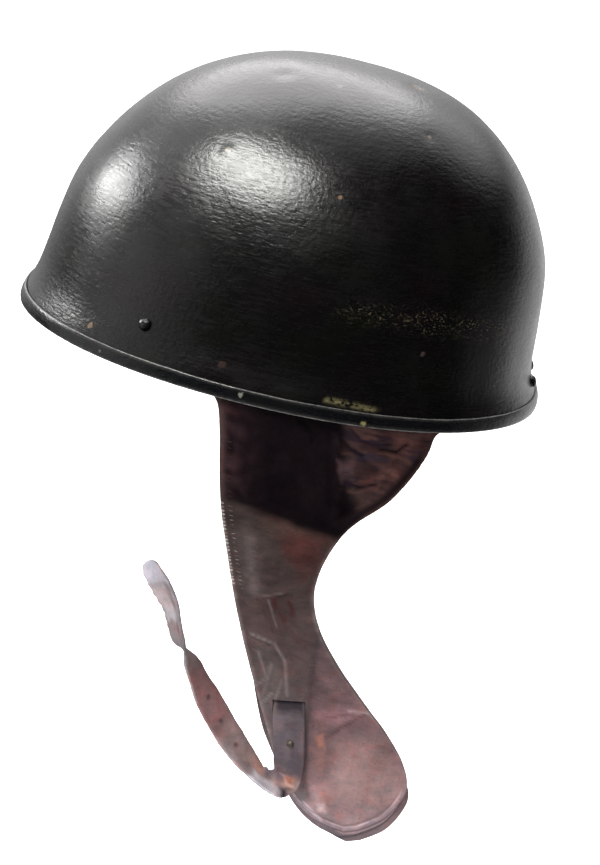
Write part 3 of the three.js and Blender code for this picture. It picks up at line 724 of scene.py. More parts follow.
# patches of the near flap: outline in x and z, softness, colour and strength
FLAP_PATCHES = [
    ([(-6, -81), (2, -71), (13, -99), (16, -124), (11, -135), (4, -129)], 5, DUSTY, 0.25),
    ([(0, -60), (10, -60), (31, -64), (45, -66), (46, -76), (28, -79), (10, -74)], 4, RED_BROWN, 0.8),
    ([(18, -80), (30, -76), (39, -79), (41, -92), (33, -99), (26, -96)], 4, OXBLOOD, 0.85),
    ([(20, -72), (46, -66), (44, -98), (36, -112), (30, -96)], 5, OXBLOOD, 0.6),
    ([(14, -131), (31, -122), (41, -150), (27, -159)], 1.6, UMBER, 0.3),
    ([(22, -129), (25, -128), (28, -139), (26, -141)], 1.4, OXBLOOD, 0.85),
    ([(29, -142), (32, -141), (35, -148), (32, -149)], 1.4, OXBLOOD, 0.7),
    ([(31, -129), (33, -127), (38, -140), (35, -141)], 1.4, OXBLOOD, 0.75),
    ([(20, -168), (31, -172), (39, -190), (41, -211), (30, -211), (21, -189)], 3.5,
     (0.052, 0.044, 0.042), 0.7),
    ([(55, -160), (73, -179), (95, -208), (83, -209), (71, -212), (60, -198), (54, -175)], 4, ROSE, 0.4),
    ([(58, -216), (79, -207), (92, -206), (82, -221), (68, -220)], 3, (0.13, 0.07, 0.08), 0.6),
    ([(76, -234), (100, -221), (118, -241), (121, -261), (102, -271), (82, -264)], 8, ROSE_LIGHT, 0.5),
    ([(60, -213), (74, -222), (80, -240), (76, -258), (64, -250)], 7, (0.082, 0.046, 0.048), 0.7),
    ([(67, -232), (69.5, -230), (72, -236), (69, -238)], 2.2, ORANGE, 0.75),
    ([(68, -241), (72, -240), (76, -252), (71, -254)], 3.5, ORANGE, 0.2),
    ([(76, -266), (86, -270), (84, -275), (76, -272)], 3, ORANGE, 0.25),
    ([(68, -262), (73, -264), (76, -273), (70, -272)], 3, PALE, 0.12),
    ([(77, -276), (81, -275), (82, -279), (78, -280)], 2.4, (0.45, 0.34, 0.35), 0.5),
    # painted shadow that the shell casts over the flap's upper part
    ([(-40, 4), (-36, -20), (-30, -43), (-22, -60), (0, -63), (18, -67), (33, -69), (43, -70), (52, -67),
      (60, -58), (54, -46), (46, -32), (42, -10), (40, 4)], 4.2, PAINTED_SHADE, 1),
    ([(42, 6), (92, 6), (86, -12), (80, -26), (70, -38), (60, -43), (53, -36), (47, -20)], 8, UMBER, 0.95),
    ([(38, -3), (50, -1), (60, -4), (56, -9), (43, -8)], 2, UMBER_LIGHT, 0.8),
    ([(39, -20), (47, -19), (48, -29), (44, -33), (40, -27)], 2, (0.038, 0.0195, 0.024), 0.8),
    ([(56, -20), (68, -22), (71, -27), (61, -26)], 1.8, UMBER_LIGHT, 0.7),
    ([(48, -30), (64, -28), (62, -36), (52, -37)], 2.2, (0.046, 0.0175, 0.016), 0.75),
    ([(62, -4), (78, -3), (74, -16), (66, -10)], 2.5, UMBER_LIGHT, 0.6),
    # painted shade in a pressed crease of the crumpled part
    ([(46, -14), (62, -17), (66, -19), (50, -20)], 1.6, (0.016, 0.011, 0.02), 0.8),
]

# thin lines on the near flap that aren't creases: points in x and z, width, colour and strength
FLAP_LINES = [
    ([(17, -5), (21, -8)], 2, (0.001, 0.001, 0.001), 0.9),
    ([(24, -12), (24, -14)], 1.4, (0.001, 0.001, 0.001), 0.9),
    ([(15, -131), (27, -124)], 0.7, (0.085, 0.07, 0.07), 0.45),
    # painted highlight along the lobe's rim
    ([(68, -276), (75, -281), (81, -285)], 0.9, (0.4, 0.34, 0.37), 0.7),
    ([(4, -85), (8, -110), (13, -128)], 3, (0.08, 0.066, 0.064), 0.35),
]


def base_tones(points, drop, spread):
    """The colour down the flap, and the distance from its outline."""
    ragged = points.copy()
    ragged[:, 0] += 1.3 * field(points, 7.0, 31)
    ragged[:, 2] += 1.3 * field(points, 7.0, 32)
    heights = [-row[0] for row in FLAP_TONES]
    columns = []
    for k in (1, 2):
        levels = np.array([row[k] for row in FLAP_TONES]).T
        columns.append(np.stack([np.interp(-ragged[:, 2] - drop, heights, level) for level in levels], -1))
    tones = mix(*columns, right_of_step(points[:, 0], points[:, 2], spread)[:, None])
    front, rear = flap_edges(EDGE_STEPS)
    edge = distance_to(points[:, 0], points[:, 2] + drop, np.concatenate([front, rear[::-1]]))
    return tones, edge, ragged


def far_tones(points):
    """The leather's colour at each point of the far flap."""
    tones, edge, ragged = base_tones(points, FAR_DROP, 22.0)
    tones = lay(tones, 0.9 * smooth((-ragged[:, 2] - 270) / 20.0), (0.125, 0.1, 0.112))
    return lay(tones, 0.7 * bell(edge, 0.8), (0.04, 0.03, 0.035))


def near_tones(points):
    """The leather's colour at each point of the near flap."""
    tones, edge, ragged = base_tones(points, 0.0, 1.6)
    for outline, soft, colour, strength in FLAP_PATCHES:
        tones = lay(tones, strength * inside_area(ragged[:, 0], ragged[:, 2], outline, soft), colour)
    x, z = points[:, 0], points[:, 2]
    coloured = [(row[0], *row[3:]) for row in FLAP_CREASES if len(row) > 3]
    for line, width, colour, strength in coloured + FLAP_LINES:
        tones = lay(tones, strength * crease(x, z, line, width), colour)
    crumple = inside_area(x, z, CRUMPLE_AREA, 4.0)
    ridge = crumple_ridges(x, z)
    rows = np.array(FLAP_ROWS, float)
    from_front = x - np.interp(-z, -rows[:, 1], rows[:, 0])
    shadow_near_front = smooth((z + 62.0) / 8.0) * (1 - crumple) * bell(from_front, 13.0)
    foot = distance_to(x, z, [(at + 1.0, height) for height, at in STEP_LINE])
    front_edge, rear_edge = (distance_to(x, z, line) for line in flap_edges(EDGE_STEPS))
    below = smooth((-ragged[:, 2] - 66) / 12.0)
    lobe = smooth((-ragged[:, 2] - 250) / 14.0)
    curled = smooth((-ragged[:, 2] - 8) / 10.0) * smooth((ragged[:, 2] + 74) / 10.0)
    worn = 0.75 + 0.5 * field(points, 5.0, 33)
    pale = np.clip(0.55 + 1.4 * field(points, 7.0, 36), 0.1, 1.0)
    for amount, colour in (
        # the crumpled part: painted shade in the valleys, paler ridges
        (0.85 * crumple * smooth(-0.05 - 2.0 * ridge), (0.010, 0.006, 0.011)),
        (0.35 * crumple * smooth(2.2 * ridge - 0.4), (0.066, 0.0285, 0.022)),
        # the shell's painted shadow is redder towards the front edge
        (0.8 * shadow_near_front * smooth(0.55 + 0.7 * field(points, 6.0, 35)), (0.0205, 0.0088, 0.0108)),
        # the step's shadowed foot
        (0.45 * bell(foot, 1.1), (0.026, 0.018, 0.021)),
        (0.4 * bell(foot, 4.0), (0.034, 0.024, 0.027)),
        # edges rubbed pale below, and painted shade where the rear edge curls
        (0.7 * worn * below * bell(front_edge, 1.5), (0.15, 0.125, 0.125)),
        (0.45 * worn * below * bell(rear_edge, 1.3), (0.13, 0.1, 0.1)),
        (0.95 * curled * bell(rear_edge, 2.6, 3.0), PAINTED_SHADE),
        (0.8 * curled * bell(rear_edge, 0.9), (0.03, 0.016, 0.014)),
        (0.8 * (1 - below) * bell(front_edge, 2.6), (0.036, 0.02, 0.02)),
        # the lobe's rim: a pale border and a paler line as painted highlight on the bead, painted shade in
        # the groove, and a dark edge
        (0.7 * lobe * bell(edge, 1.5, 1.2), (0.135, 0.105, 0.122)),
        (0.5 * pale * lobe * bell(edge, 0.5, 2.7), (0.36, 0.31, 0.34)),
        (0.5 * lobe * bell(edge, 0.6, GROOVE_INSET), (0.07, 0.048, 0.054)),
        (0.7 * lobe * bell(edge, 0.55), (0.035, 0.024, 0.03)),
    ):
        tones = lay(tones, amount, colour)
    return tones


def thread_tones(points):
    """Pale thread on the lighter leather, and dark thread above it, in the shell's painted shadow, and in
    the inner row.
    """
    pale = smooth((-60.0 - points[:, 2]) / 6.0) * np.clip(0.7 + 1.1 * field(points, 3.5, 34), 0.1, 1.0)
    inner_row = distance_to(points[:, 0], points[:, 2], flap_edges(EDGE_STEPS)[0]) > 3.0
    return mix(np.array(THREAD_DARK), np.array(THREAD), (pale * np.where(inner_row, 0.4, 1.0))[:, None])


# Chin strap


def strap_sections():
    rows = np.array(STRAP_ROWS, float)
    outer = centripetal(rows[:, :3], STRAP_STEPS)
    inner = centripetal(rows[:, 3:], STRAP_STEPS)
    centre = (outer + inner) / 2
    across = unit(outer - inner)
    along = unit(np.gradient(centre, axis=0))
    place = np.linspace(0, len(rows) - 1, len(outer))
    to_tip = np.minimum((len(rows) - 1 - place) / STRAP_TIP_ROWS, 1.0)
    half = STRAP_WIDTH / 2 * mix(0.18, 1.0, np.sqrt(np.maximum(1 - (1 - to_tip) ** 2, 0)))
    return centre, across, unit(np.cross(across, along)), along, half, place


# patches of the strap: row from and to, place across from and to (1 is its outer edge), softness in rows,
# face (-1 shows below the twist and 1 above it), colour and strength
STRAP_PATCHES = [
    (2.2, 8.4, -2, 2, 0.6, -1, (0.064, 0.052, 0.060), 1),
    (2.2, 4.1, 0.5, 2, 0.5, -1, (0.062, 0.048, 0.050), 0.9),
    (2.2, 4.1, -2, -0.6, 0.5, -1, (0.062, 0.048, 0.050), 0.9),
    # painted shade where the strap dives into the slot
    (1.6, 3.9, -0.85, 0.85, 0.9, -1, (0.014, 0.011, 0.015), 0.95),
    (4.4, 8, 0.15, 0.65, 0.6, -1, (0.045, 0.037, 0.046), 0.6),
    (6.2, 8.6, 0.1, 1.2, 0.7, -1, (0.045, 0.035, 0.044), 0.8),
    (8.5, 9.1, 0, 0.5, 0.5, -1, (0.22, 0.08, 0.048), 0.9),
    # a painted highlight on the fold's lip, then painted shadow under the fold
    (9.1, 9.35, -0.1, 0.7, 0.3, -1, (0.36, 0.22, 0.17), 0.8),
    (9.45, 9.95, 0.35, 1.2, 0.35, -1, (0.018, 0.014, 0.02), 0.95),
    # painted sheen: pale bluish light on the bend
    (10, 13, 0.1, 1.2, 0.7, -1, (0.36, 0.36, 0.4), 0.95),
    (9.3, 11.6, -1.2, -0.2, 0.6, -1, (0.064, 0.052, 0.068), 0.9),
    (11.8, 14, -1.2, 0.1, 0.8, -1, (0.24, 0.16, 0.15), 0.8),
    (12.1, 13, -0.7, -0.1, 0.6, -1, (0.3, 0.15, 0.1), 0.35),
    (13.2, 15.8, 0.5, 1.2, 0.7, -1, (0.22, 0.18, 0.19), 0.6),
    (15.6, 18.8, -0.75, 0.9, 0.8, -1, (0.14, 0.069, 0.071), 0.8),
    (12.8, 19.5, -1.2, -0.82, 0.5, -1, (0.062, 0.046, 0.058), 0.5),
    (19.2, 20.8, -2, 2, 0.4, -1, (0.12, 0.075, 0.08), 0.6),
    (20.2, 22.9, -2, 2, 0.6, 1, (0.085, 0.072, 0.076), 0.85),
    # painted sheen on the glossy grain face
    (22.8, 24.4, -0.6, 0.55, 0.7, 1, (0.2, 0.19, 0.205), 0.7),
    (24, 24.8, -0.7, 0.6, 0.5, 1, (0.15, 0.12, 0.125), 0.6),
    (25, 26.1, -0.9, 0.5, 0.5, 1, (0.15, 0.13, 0.14), 0.6),
    # painted sheen on the glossy grain face near the tip
    (26.2, 29, -2, 2, 0.6, 1, (0.165, 0.17, 0.2), 0.9),
    # painted shade in the fold along the upper stretch, and painted sheen on the curled edge beyond it
    (20.6, 26.2, 0.5, 0.8, 0.4, 1, (0.05, 0.042, 0.048), 0.8),
    (20.6, 26.2, 0.85, 1.2, 0.4, 1, (0.13, 0.125, 0.15), 0.7),
]
# the flesh face, and the grain face: a glossy dark finish with its sheen painted in as a pale gray
STRAP_FLESH = (0.145, 0.108, 0.108)
STRAP_GRAIN_AND_SHEEN = (0.165, 0.15, 0.158)


def make_strap():
    centre, across, out, along, half, place = strap_sections()
    # old leather: its edges are nicked and it is a little narrower in places
    rough = np.outer(place * 14.0, (1, 0, 0))
    free = smooth((place - 5.5) / 3.0)
    left = half + free * (0.35 * field(rough, 9.0, 21) + 0.2 * field(rough, 3.0, 22))
    right = half + free * (0.3 * field(rough, 9.0, 23) + 0.25 * field(rough, 3.5, 24))
    right += smooth((place - 21.0) / 1.5) * 0.45 * np.sin(place * 9.0)
    columns = np.linspace(1, -1, STRAP_COLUMNS + 1)
    side = np.concatenate([columns, columns[::-1]])
    face = np.repeat([1.0, -1.0], len(columns))
    reach = np.where(side > 0, left[:, None], right[:, None]) * side
    thick = face * STRAP_THICKNESS / 2 * (0.55 + 0.45 * smooth((1 - np.abs(side)) / 0.08))
    loops = centre[:, None] + across[:, None] * reach[..., None] + out[:, None] * thick[:, None]
    wave = np.minimum(0.18 * field(loops, 11.0, 25) + 0.1 * field(loops, 4.0, 26), 0.0)
    wave *= 0.3 + 0.7 * free[:, None]
    # the holes have closed up with age: each is a pit with a small opening
    holes = [int(round(row * STRAP_STEPS)) for row in STRAP_HOLE_ROWS]
    for n in holes:
        wave -= 0.55 * bell(np.linalg.norm(loops - centre[n], axis=-1), 2.0)
    # a fold along the upper stretch
    fold = smooth((place - 20.6) / 0.6) * (1 - smooth((place - 26.0) / 0.6))
    wave -= 0.6 * fold[:, None] * bell(side, 0.09, 0.68) * (face > 0)
    # the pinch where the strap turns up from the flap
    wave -= 0.5 * bell(place, 0.35, 9.1)[:, None] * bell(side, 0.5, 0.1) * (face < 0)
    loops += out[:, None] * (wave * face)[..., None]
    grid = np.arange(loops.size // 3).reshape(loops.shape[:2])
    faces = grid_faces(grid, True)
    for row in (grid[0], grid[-1]):
        faces += grid_faces(np.stack([row[: len(columns)], row[len(columns) :][::-1]]))
    piece = make_object("leather_strap", loops.reshape(-1, 3), faces)
    subtract(piece, [hole_cutter(centre[n], out[n] + HOLE_SLANT * along[n]) for n in holes])
    add_attribute(piece, "tone", strap_tones(points_of(piece), centre, across, out, half, place))
    return piece


def strap_tones(points, centre, across, out, half, place):
    """The leather's colour at each point of the strap."""
    nearest = np.array([np.argmin(((centre - p) ** 2).sum(1)) for p in points])
    offset = points - centre[nearest]
    face = np.sign((offset * out[nearest]).sum(1))
    side = (offset * across[nearest]).sum(1) / half[nearest] + 0.18 * field(points, 6.0, 42)
    row = place[nearest] + 0.35 * field(points, 6.0, 41)
    tones = np.where(face[:, None] < 0, np.array(STRAP_FLESH), np.array(STRAP_GRAIN_AND_SHEEN))
    for row_from, row_to, side_from, side_to, soft, on_face, colour, strength in STRAP_PATCHES:
        amount = smooth((row - row_from) / soft + 0.5) * smooth((row_to - row) / soft + 0.5)
        for inward in (side - side_from, side_to - side):
            amount = amount * smooth(inward / STRAP_PATCH_SOFTNESS + 0.5)
        tones = lay(tones, strength * amount * (face == on_face), colour)
    for at in STRAP_HOLE_ROWS:
        away = np.linalg.norm(points - centre[np.argmin(np.abs(place - at))], axis=1)
        tones = lay(tones, 0.8 * np.exp(-((away / 1.9) ** 4)), (0.045, 0.02, 0.02))
    return tones


def hole_cutter(centre, axis, length=8.0):
    axis = Vector(axis).normalized()
    u = axis.orthogonal().normalized()
    angles = np.arange(HOLE_SIDES) * 2 * math.pi / HOLE_SIDES
    ring = np.outer(np.cos(angles), u) + np.outer(np.sin(angles), axis.cross(u))
    ends = [centre + np.array(axis) * length * end + ring * STRAP_HOLE_RADIUS for end in (-0.5, 0.5)]
    grid = np.arange(2 * HOLE_SIDES).reshape(2, -1)
    return make_object("hole_cutter", np.concatenate(ends), grid_faces(grid, True) + grid.tolist(), False)


# Materials


def shade(value):
    """A colour with its alpha, from three numbers or from one gray."""
    return (value, value, value, 1.0) if isinstance(value, (int, float)) else (*value, 1.0)


class Nodes:
    """The nodes of a material or a world; each call adds some and gives their output."""

    def __init__(self, owner, coordinates="Object"):
        owner.use_nodes = True
        self.owner = owner
        self.tree = owner.node_tree
        self.coords = self.add("TexCoord", output=coordinates)

    def put(self, socket, value):
        """Links an output to a socket, or sets the socket's value."""
        if isinstance(value, bpy.types.NodeSocket):
            self.tree.links.new(value, socket)
        else:
            socket.default_value = shade(value) if socket.type == "RGBA" else value

    def set(self, name, value):
        self.put(self.tree.nodes["Principled BSDF"].inputs[name], value)

    def add(self, kind, inputs=None, output=0, **settings):
        node = self.tree.nodes.new("ShaderNode" + kind)
        for key, value in settings.items():
            setattr(node, key, value)
        for key, value in (inputs or {}).items():
            self.put(node.inputs[key], value)
        return node.outputs[output]

    def noise(self, scale, detail=4.0, rough=0.55, stretch=None, distortion=0.0):
        place = self.add("Mapping", {"Vector": self.coords, "Scale": stretch}) if stretch else self.coords
        sizes = {"Scale": scale, "Detail": detail, "Roughness": rough, "Distortion": distortion}
        return self.add("TexNoise", {"Vector": place, **sizes}, "Fac")

    def ramp(self, source, stops):
        """A colour, or a gray, from a number; each stop has a place and a colour."""
        node = self.tree.nodes.new("ShaderNodeValToRGB")
        elements = node.color_ramp.elements
        for element, (place, colour) in zip(elements, (stops[0], stops[-1])):
            element.position = place
            element.color = shade(colour)
        for place, colour in stops[1:-1]:
            elements.new(place).color = shade(colour)
        self.put(node.inputs["Fac"], source)
        return node.outputs["Color"]

    def mix(self, amount, a, b, kind="MIX"):
        inputs = {"Factor": amount, "A": a, "B": b}
        return self.add("Mix", inputs, "Result", data_type="RGBA", blend_type=kind)

    def vary(self, colour, source, low, high):
        """Multiplies a colour by what a ramp from low to high makes of a number."""
        return self.mix(1.0, colour, self.ramp(source, [low, high]), "MULTIPLY")

    def maths(self, kind, a, b):
        return self.add("Math", {0: a, 1: b}, operation=kind)

    def vector(self, kind, *inputs, output="Vector"):
        return self.add("VectorMath", dict(enumerate(inputs)), output, operation=kind)

    def bumps(self, *layers):
        """Lays bumps over one another, each with its height, strength and depth in metres."""
        normal = {}
        for height, strength, distance in layers:
            inputs = {"Height": height, "Strength": strength, "Distance": distance}
            normal = {"Normal": self.add("Bump", {**inputs, **normal})}
        self.set("Normal", normal["Normal"])

    def attribute(self, name, output="Fac"):
        return self.add("Attribute", output=output, attribute_name=name)

    def spots(self, colour, marks):
        """Lays small ragged spots on a colour."""
        cloud = self.add("TexNoise", {"Vector": self.coords, "Scale": 420.0}, "Color")
        push = self.vector("SUBTRACT", cloud, (0.5, 0.5, 0.5))
        place = self.vector("MULTIPLY_ADD", push, (0.0022, 0.0022, 0.0022), self.coords)
        for x, y, z, radius, mark in marks:
            away = self.vector("DISTANCE", place, metres((x, y, z)).tolist(), output="Value")
            border = {"From Min": radius * 0.00115, "From Max": radius * 0.00085}
            colour = self.mix(self.add("MapRange", {"Value": away, **border}, "Result"), colour, mark)
        return colour


# small marks in the paint: x, y, z, radius and colour
SHELL_MARKS = [
    (-98.8, -84, 12.4, 1.6, (0.075, 0.046, 0.028)),
    (38.3, -13.2, 155, 3.6, (0.035, 0.02, 0.012)),
    (42.5, -15, 154, 1.2, (0.001, 0.001, 0.001)),
    (49.2, -55, 138.5, 1.3, (0.075, 0.062, 0.045)),
    (-47.6, -78, 114.6, 1.7, (0.06, 0.045, 0.03)),
    (11.5, -91.7, 106.8, 1.1, (0.1, 0.058, 0.034)),
    (-0.5, -43.3, 151.8, 1.6, (0.05, 0.045, 0.04)),
    (-95.3, -67.2, 80.5, 1, (0.001, 0.001, 0.001)),
    (-93.5, -70.7, 76.4, 1.5, (0.001, 0.001, 0.001)),
    (-98.8, -62.3, 82.9, 0.9, (0.001, 0.001, 0.001)),
    (-27.6, -111.2, 15.6, 2, (0.014, 0.007, 0.0065)),
    (68.9, -96.1, 39.1, 1.2, (0.025, 0.017, 0.015)),
    (96, 40, 112, 2.4, (0.05, 0.03, 0.02)),
    (-60, 84, 92, 1.8, (0.07, 0.05, 0.035)),
    (20, 108, 40, 2.2, (0.05, 0.028, 0.018)),
    (-118, 30, 40, 1.6, (0.06, 0.04, 0.025)),
    (120, -8, 60, 1.5, (0.05, 0.04, 0.03)),
]
BAND_MARKS = [
    (47.5, -112.5, 1.6, 1.8, (0.1, 0.088, 0.03)),
    (50.8, -112, 1.2, 1.4, (0.075, 0.062, 0.025)),
    (-15.7, -117, 3.9, 1.8, (0.1, 0.095, 0.08)),
    (-90, -92, 3, 1.3, (0.04, 0.037, 0.033)),
    (80, -95, 4, 1.2, (0.1, 0.07, 0.05)),
    (20, 117, 4, 2, (0.15, 0.1, 0.07)),
    (-80, 98, 2.5, 1.6, (0.18, 0.17, 0.15)),
]


def paint_material(name, kind="shell"):
    """Old brushed-on gloss black; kind is shell, band or rivet."""
    m = Nodes(bpy.data.materials.new(name))
    brush = m.noise(400.0, 3.0, 0.6, stretch=(0.3, 0.3, 2.0))
    patch = m.noise(24.0, 5.0, 0.6)
    tint = m.noise(26.0, 2.0, 0.5, stretch=(1.0, 1.0, 1.4))
    green, black, red = (0.0011, 0.0015, 0.0007), (0.001, 0.001, 0.0011), (0.0017, 0.0008, 0.0012)
    base = m.ramp(tint, [(0.36, green), (0.5, black), (0.66, red)])
    colour = m.mix(m.ramp(patch, [(0.52, 0.0), (0.74, 0.45)]), base, (0.0038, 0.0034, 0.0028))
    rough = m.ramp(m.mix(0.5, brush, patch), [(0.34, 0.2), (0.66, 0.34)])
    if kind == "shell":
        for area, scale, stops, mark in (
            ("specks", (1150.0, 1.0, 0.5, (0.8, 0.8, 1.2)), [(0.62, 0.0), (0.69, 1.0)], (0.05, 0.04, 0.024)),
            ("scrape", (330.0, 4.0, 0.7), [(0.4, 0.0), (0.5, 1.0)], (0.085, 0.072, 0.034)),
        ):
            bare = m.maths("MULTIPLY", m.attribute(area), m.ramp(m.noise(*scale), stops))
            colour = m.mix(bare, colour, mark)
        colour = m.spots(colour, SHELL_MARKS)
    if kind == "band":
        colour = m.mix(0.6, colour, (0.0018, 0.0021, 0.003))
        # the band's edges are pale: the paint rubbed off, and a painted highlight along them
        worn = m.ramp(m.noise(260.0, 4.0, 0.65), [(0.3, 0.25), (0.6, 1.0)])
        colour = m.mix(m.maths("MULTIPLY", m.attribute("edge_wear_and_highlight"), worn), colour, (0.12, 0.115, 0.11))
        chips = m.ramp(m.noise(240.0, 4.0, 0.7), [(0.72, 0.0), (0.75, 1.0)])
        colour = m.mix(m.maths("MULTIPLY", chips, 0.6), colour, (0.06, 0.045, 0.03))
        colour = m.spots(colour, BAND_MARKS)
    if kind != "rivet":
        inner = m.attribute("inner")
        rusty = m.ramp(patch, [(0.35, (0.018, 0.012, 0.009)), (0.65, (0.05, 0.03, 0.02))])
        colour = m.mix(inner, colour, rusty)
        rough = m.mix(inner, rough, 0.7)
    m.set("Base Color", colour)
    m.set("Roughness", rough)
    m.set("Specular IOR Level", 0.5)
    peel = m.noise(430.0, 3.0, 0.6)
    fine = m.noise(900.0, 2.0, 0.6)
    m.bumps((brush, 1.0, 0.00012), (peel, 1.0, 0.0002), (fine, 0.6, 0.00001))
    return m.owner


def leather_material(name):
    m = Nodes(bpy.data.materials.new(name))
    tone = m.attribute("tone")
    cloud = m.noise(120.0, 4.0, 0.6)
    speck = m.noise(620.0, 3.0, 0.6)
    across = m.noise(360.0, 4.0, 0.65, stretch=(0.6, 1.0, 1.25))
    streak = m.noise(330.0, 4.0, 0.6, stretch=(1.5, 1.0, 0.22))
    colour = m.vary(m.attribute("tone", "Color"), m.noise(55.0, 6.0, 0.65), (0.3, 0.9), (0.7, 1.5))
    colour = m.vary(colour, streak, (0.3, 0.95), (0.7, 1.045))
    colour = m.vary(colour, across, (0.32, 0.9), (0.68, 1.09))
    colour = m.vary(colour, cloud, (0.35, (0.84, 0.86, 0.88)), (0.68, (1.16, 1.0, 0.98)))
    redder = m.mix(1.0, colour, (1.25, 0.72, 0.66), "MULTIPLY")
    colour = m.mix(m.ramp(m.noise(90.0, 5.0, 0.7), [(0.52, 0.0), (0.7, 0.55)]), colour, redder)
    darker = m.mix(1.0, colour, (0.45, 0.42, 0.45), "MULTIPLY")
    colour = m.mix(m.ramp(speck, [(0.3, 0.55), (0.38, 0.0)]), colour, darker)
    scratch = m.ramp(m.noise(150.0, 6.0, 0.75, (0.5, 1.0, 3.0), 0.6), [(0.6, 0.0), (0.66, 0.5)])
    scratch = m.maths("MULTIPLY", scratch, m.ramp(tone, [(0.012, 0.0), (0.04, 1.0)]))
    colour = m.mix(scratch, colour, m.mix(1.0, colour, (0.02, 0.018, 0.018), "ADD"))
    m.set("Base Color", colour)
    m.set("Roughness", m.ramp(cloud, [(0.3, 0.46), (0.7, 0.66)]))
    m.set("Specular IOR Level", m.ramp(tone, [(0.004, 0.05), (0.035, 0.25)]))
    pores = {"Vector": m.coords, "Scale": 1100.0}
    grain = m.add("TexVoronoi", pores, "Distance", feature="DISTANCE_TO_EDGE")
    m.bumps((grain, 0.35, 0.00035), (speck, 0.35, 0.0003), (across, 0.22, 0.0004))
    return m.owner


def metal_material(name, colour, rough):
    m = Nodes(bpy.data.materials.new(name))
    patch = m.noise(300.0, 5.0, 0.6)
    m.set("Base Color", m.ramp(patch, [(0.35, colour), (0.7, tuple(c * 0.35 for c in colour))]))
    m.set("Metallic", 0.8)
    m.set("Roughness", m.ramp(patch, [(0.3, rough), (0.7, min(rough + 0.25, 1.0))]))
    m.bumps((patch, 0.2, 0.0003))
    return m.owner


# Camera, lights and floor


def direction(azimuth, elevation):
    a, e = math.radians(azimuth), math.radians(elevation)
    return (math.cos(a) * math.cos(e), math.sin(a) * math.cos(e), math.sin(e))


def make_camera():
    away = np.array(direction(CAMERA["azimuth"] - 90.0, CAMERA["elevation"]))
    place = CAMERA_PIVOT + CAMERA["distance"] * away
    ahead = unit(CAMERA_TARGET - place)
    side = unit(np.cross(ahead, (0.0, 0.0, 1.0)))
    above = np.cross(side, ahead)
    roll = math.radians(CAMERA["roll"])
    right = math.cos(roll) * side + math.sin(roll) * above
    over = math.cos(roll) * above - math.sin(roll) * side
    camera = bpy.data.cameras.new("camera")
    camera.lens = CAMERA["lens"]
    camera.sensor_width = 36.0
    camera.clip_end = 100.0
    holder = place_in_scene("camera", camera)
    turn = Matrix(np.stack([right, over, -ahead], -1).tolist()).to_4x4()
    holder.matrix_world = Matrix.Translation(metres(place).tolist()) @ turn
    bpy.context.scene.camera = holder


def soft_light(name, azimuth, elevation, distance, wide, high, power, colour):
    """An area light that shines on the shell from a direction in degrees."""
    away = Vector(direction(azimuth, elevation))
    light = bpy.data.lights.new(name, "AREA")
    light.shape = "ELLIPSE"
    light.size = wide
    light.size_y = high
    light.energy = power
    light.color = colour
    holder = place_in_scene(name, light)
    holder.location = Vector((0.0, 0.0, -0.1)) + away * distance
    holder.rotation_euler = away.to_track_quat("Z", "Y").to_euler()


def make_floor():
    """A white sheet under everything, bright by itself."""
    mesh = bpy.data.meshes.new("floor")
    corners = [(i * FLOOR_SIZE, j * FLOOR_SIZE, FLOOR_Z) for i, j in ((-1, -1), (1, -1), (1, 1), (-1, 1))]
    mesh.from_pydata(corners, [], [(0, 1, 2, 3)])
    floor = place_in_scene("floor", mesh)
    m = Nodes(bpy.data.materials.new("floor"))
    m.set("Base Color", m.ramp(m.noise(0.8, 2.0), [(0.3, 0.93), (0.7, 0.95)]))
    m.set("Roughness", 0.9)
    m.set("Emission Color", 1.0)
    m.set("Emission Strength", 0.75)
    mesh.materials.append(m.owner)
    floor.visible_glossy = False


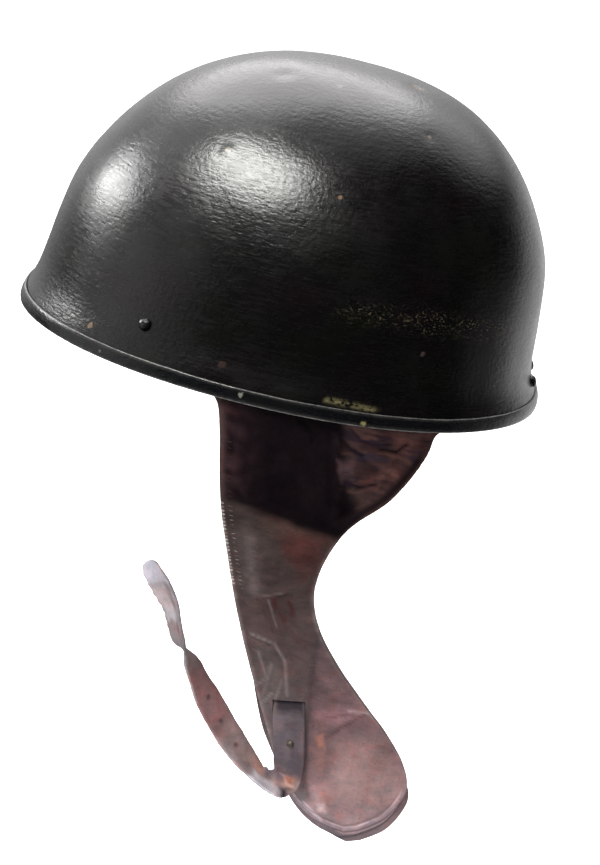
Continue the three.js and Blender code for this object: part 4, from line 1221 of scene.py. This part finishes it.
def make_world():
    """White to the camera, an even light for the leather, and the room that the paint mirrors."""
    w = Nodes(bpy.data.worlds.new("studio"), "Generated")
    level = ROOM_LEVEL
    for azimuth, elevation, full, end, amount in ROOM:
        towards = w.vector("DOT_PRODUCT", w.coords, direction(azimuth, elevation), output="Value")
        ends = {"From Min": math.cos(math.radians(end)), "From Max": math.cos(math.radians(full))}
        inputs = {"Value": towards, "To Max": amount, **ends}
        level = w.maths("ADD", w.add("MapRange", inputs, "Result", interpolation_type="SMOOTHERSTEP"), level)
    around, mirrored, seen = (
        w.add("Background", {"Color": 1.0, "Strength": strength}) for strength in (AROUND_LEVEL, level, 1.0)
    )
    glossy, first = (w.add("LightPath", output=name) for name in ("Is Glossy Ray", "Is Camera Ray"))
    lit = w.add("MixShader", {"Fac": glossy, 1: around, 2: mirrored})
    shown = w.add("MixShader", {"Fac": first, 1: lit, 2: seen})
    w.put(w.tree.nodes["World Output"].inputs["Surface"], shown)
    bpy.context.scene.world = w.owner


# Assembly


def finish_piece(piece, node, material):
    piece.data.materials.clear()
    piece.data.materials.append(material)
    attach(piece, "root")
    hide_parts(node)


def make_buckle_strap():
    """The doubled leather that holds the hidden buckle, with softened edges."""
    piece = place_in_scene("buckle_leather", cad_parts["buckle_strap"].data.copy())
    remesh = piece.modifiers.new("even", "REMESH")
    remesh.mode = "VOXEL"
    remesh.voxel_size = 0.00045
    ease = piece.modifiers.new("ease", "SMOOTH")
    ease.factor = 0.5
    ease.iterations = 5
    apply_modifiers(piece)
    points = points_of(piece)
    add_attribute(piece, "tone", np.outer(1 + 0.4 * field(points, 6.0, 51), (0.05, 0.034, 0.032)))
    return piece


shell_paint = paint_material("shell_paint")
band_paint = paint_material("band_paint", "band")
rivet_paint = paint_material("rivet_paint", "rivet")
flap_leather = leather_material("flap_leather")
strap_leather = leather_material("strap_leather")
small_metal = metal_material("small_metal", (0.2, 0.17, 0.14), 0.4)

finish_piece(make_shell(), "shell", shell_paint)
finish_piece(make_band(), "rim_band", band_paint)
finish_piece(make_flap("left_flap", False), "ear_flap_left", flap_leather)
finish_piece(make_flap("right_flap", True), "ear_flap_right", flap_leather)
finish_piece(make_strap(), "chin_strap", strap_leather)
finish_piece(make_buckle_strap(), "buckle_strap", strap_leather)

for name, material in (
    ("rivet_left_front", rivet_paint),
    ("rivet_right_front", rivet_paint),
    ("rivet_left_rear", rivet_paint),
    ("rivet_right_rear", rivet_paint),
    ("strap_stud", small_metal),
    ("buckle_stud", small_metal),
    ("buckle", small_metal),
):
    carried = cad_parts[name]
    carried.data.materials.clear()
    carried.data.materials.append(material)

make_floor()
make_world()
make_camera()
for light in LIGHTS:
    soft_light(*light)
bpy.context.scene.view_settings.view_transform = "Standard"
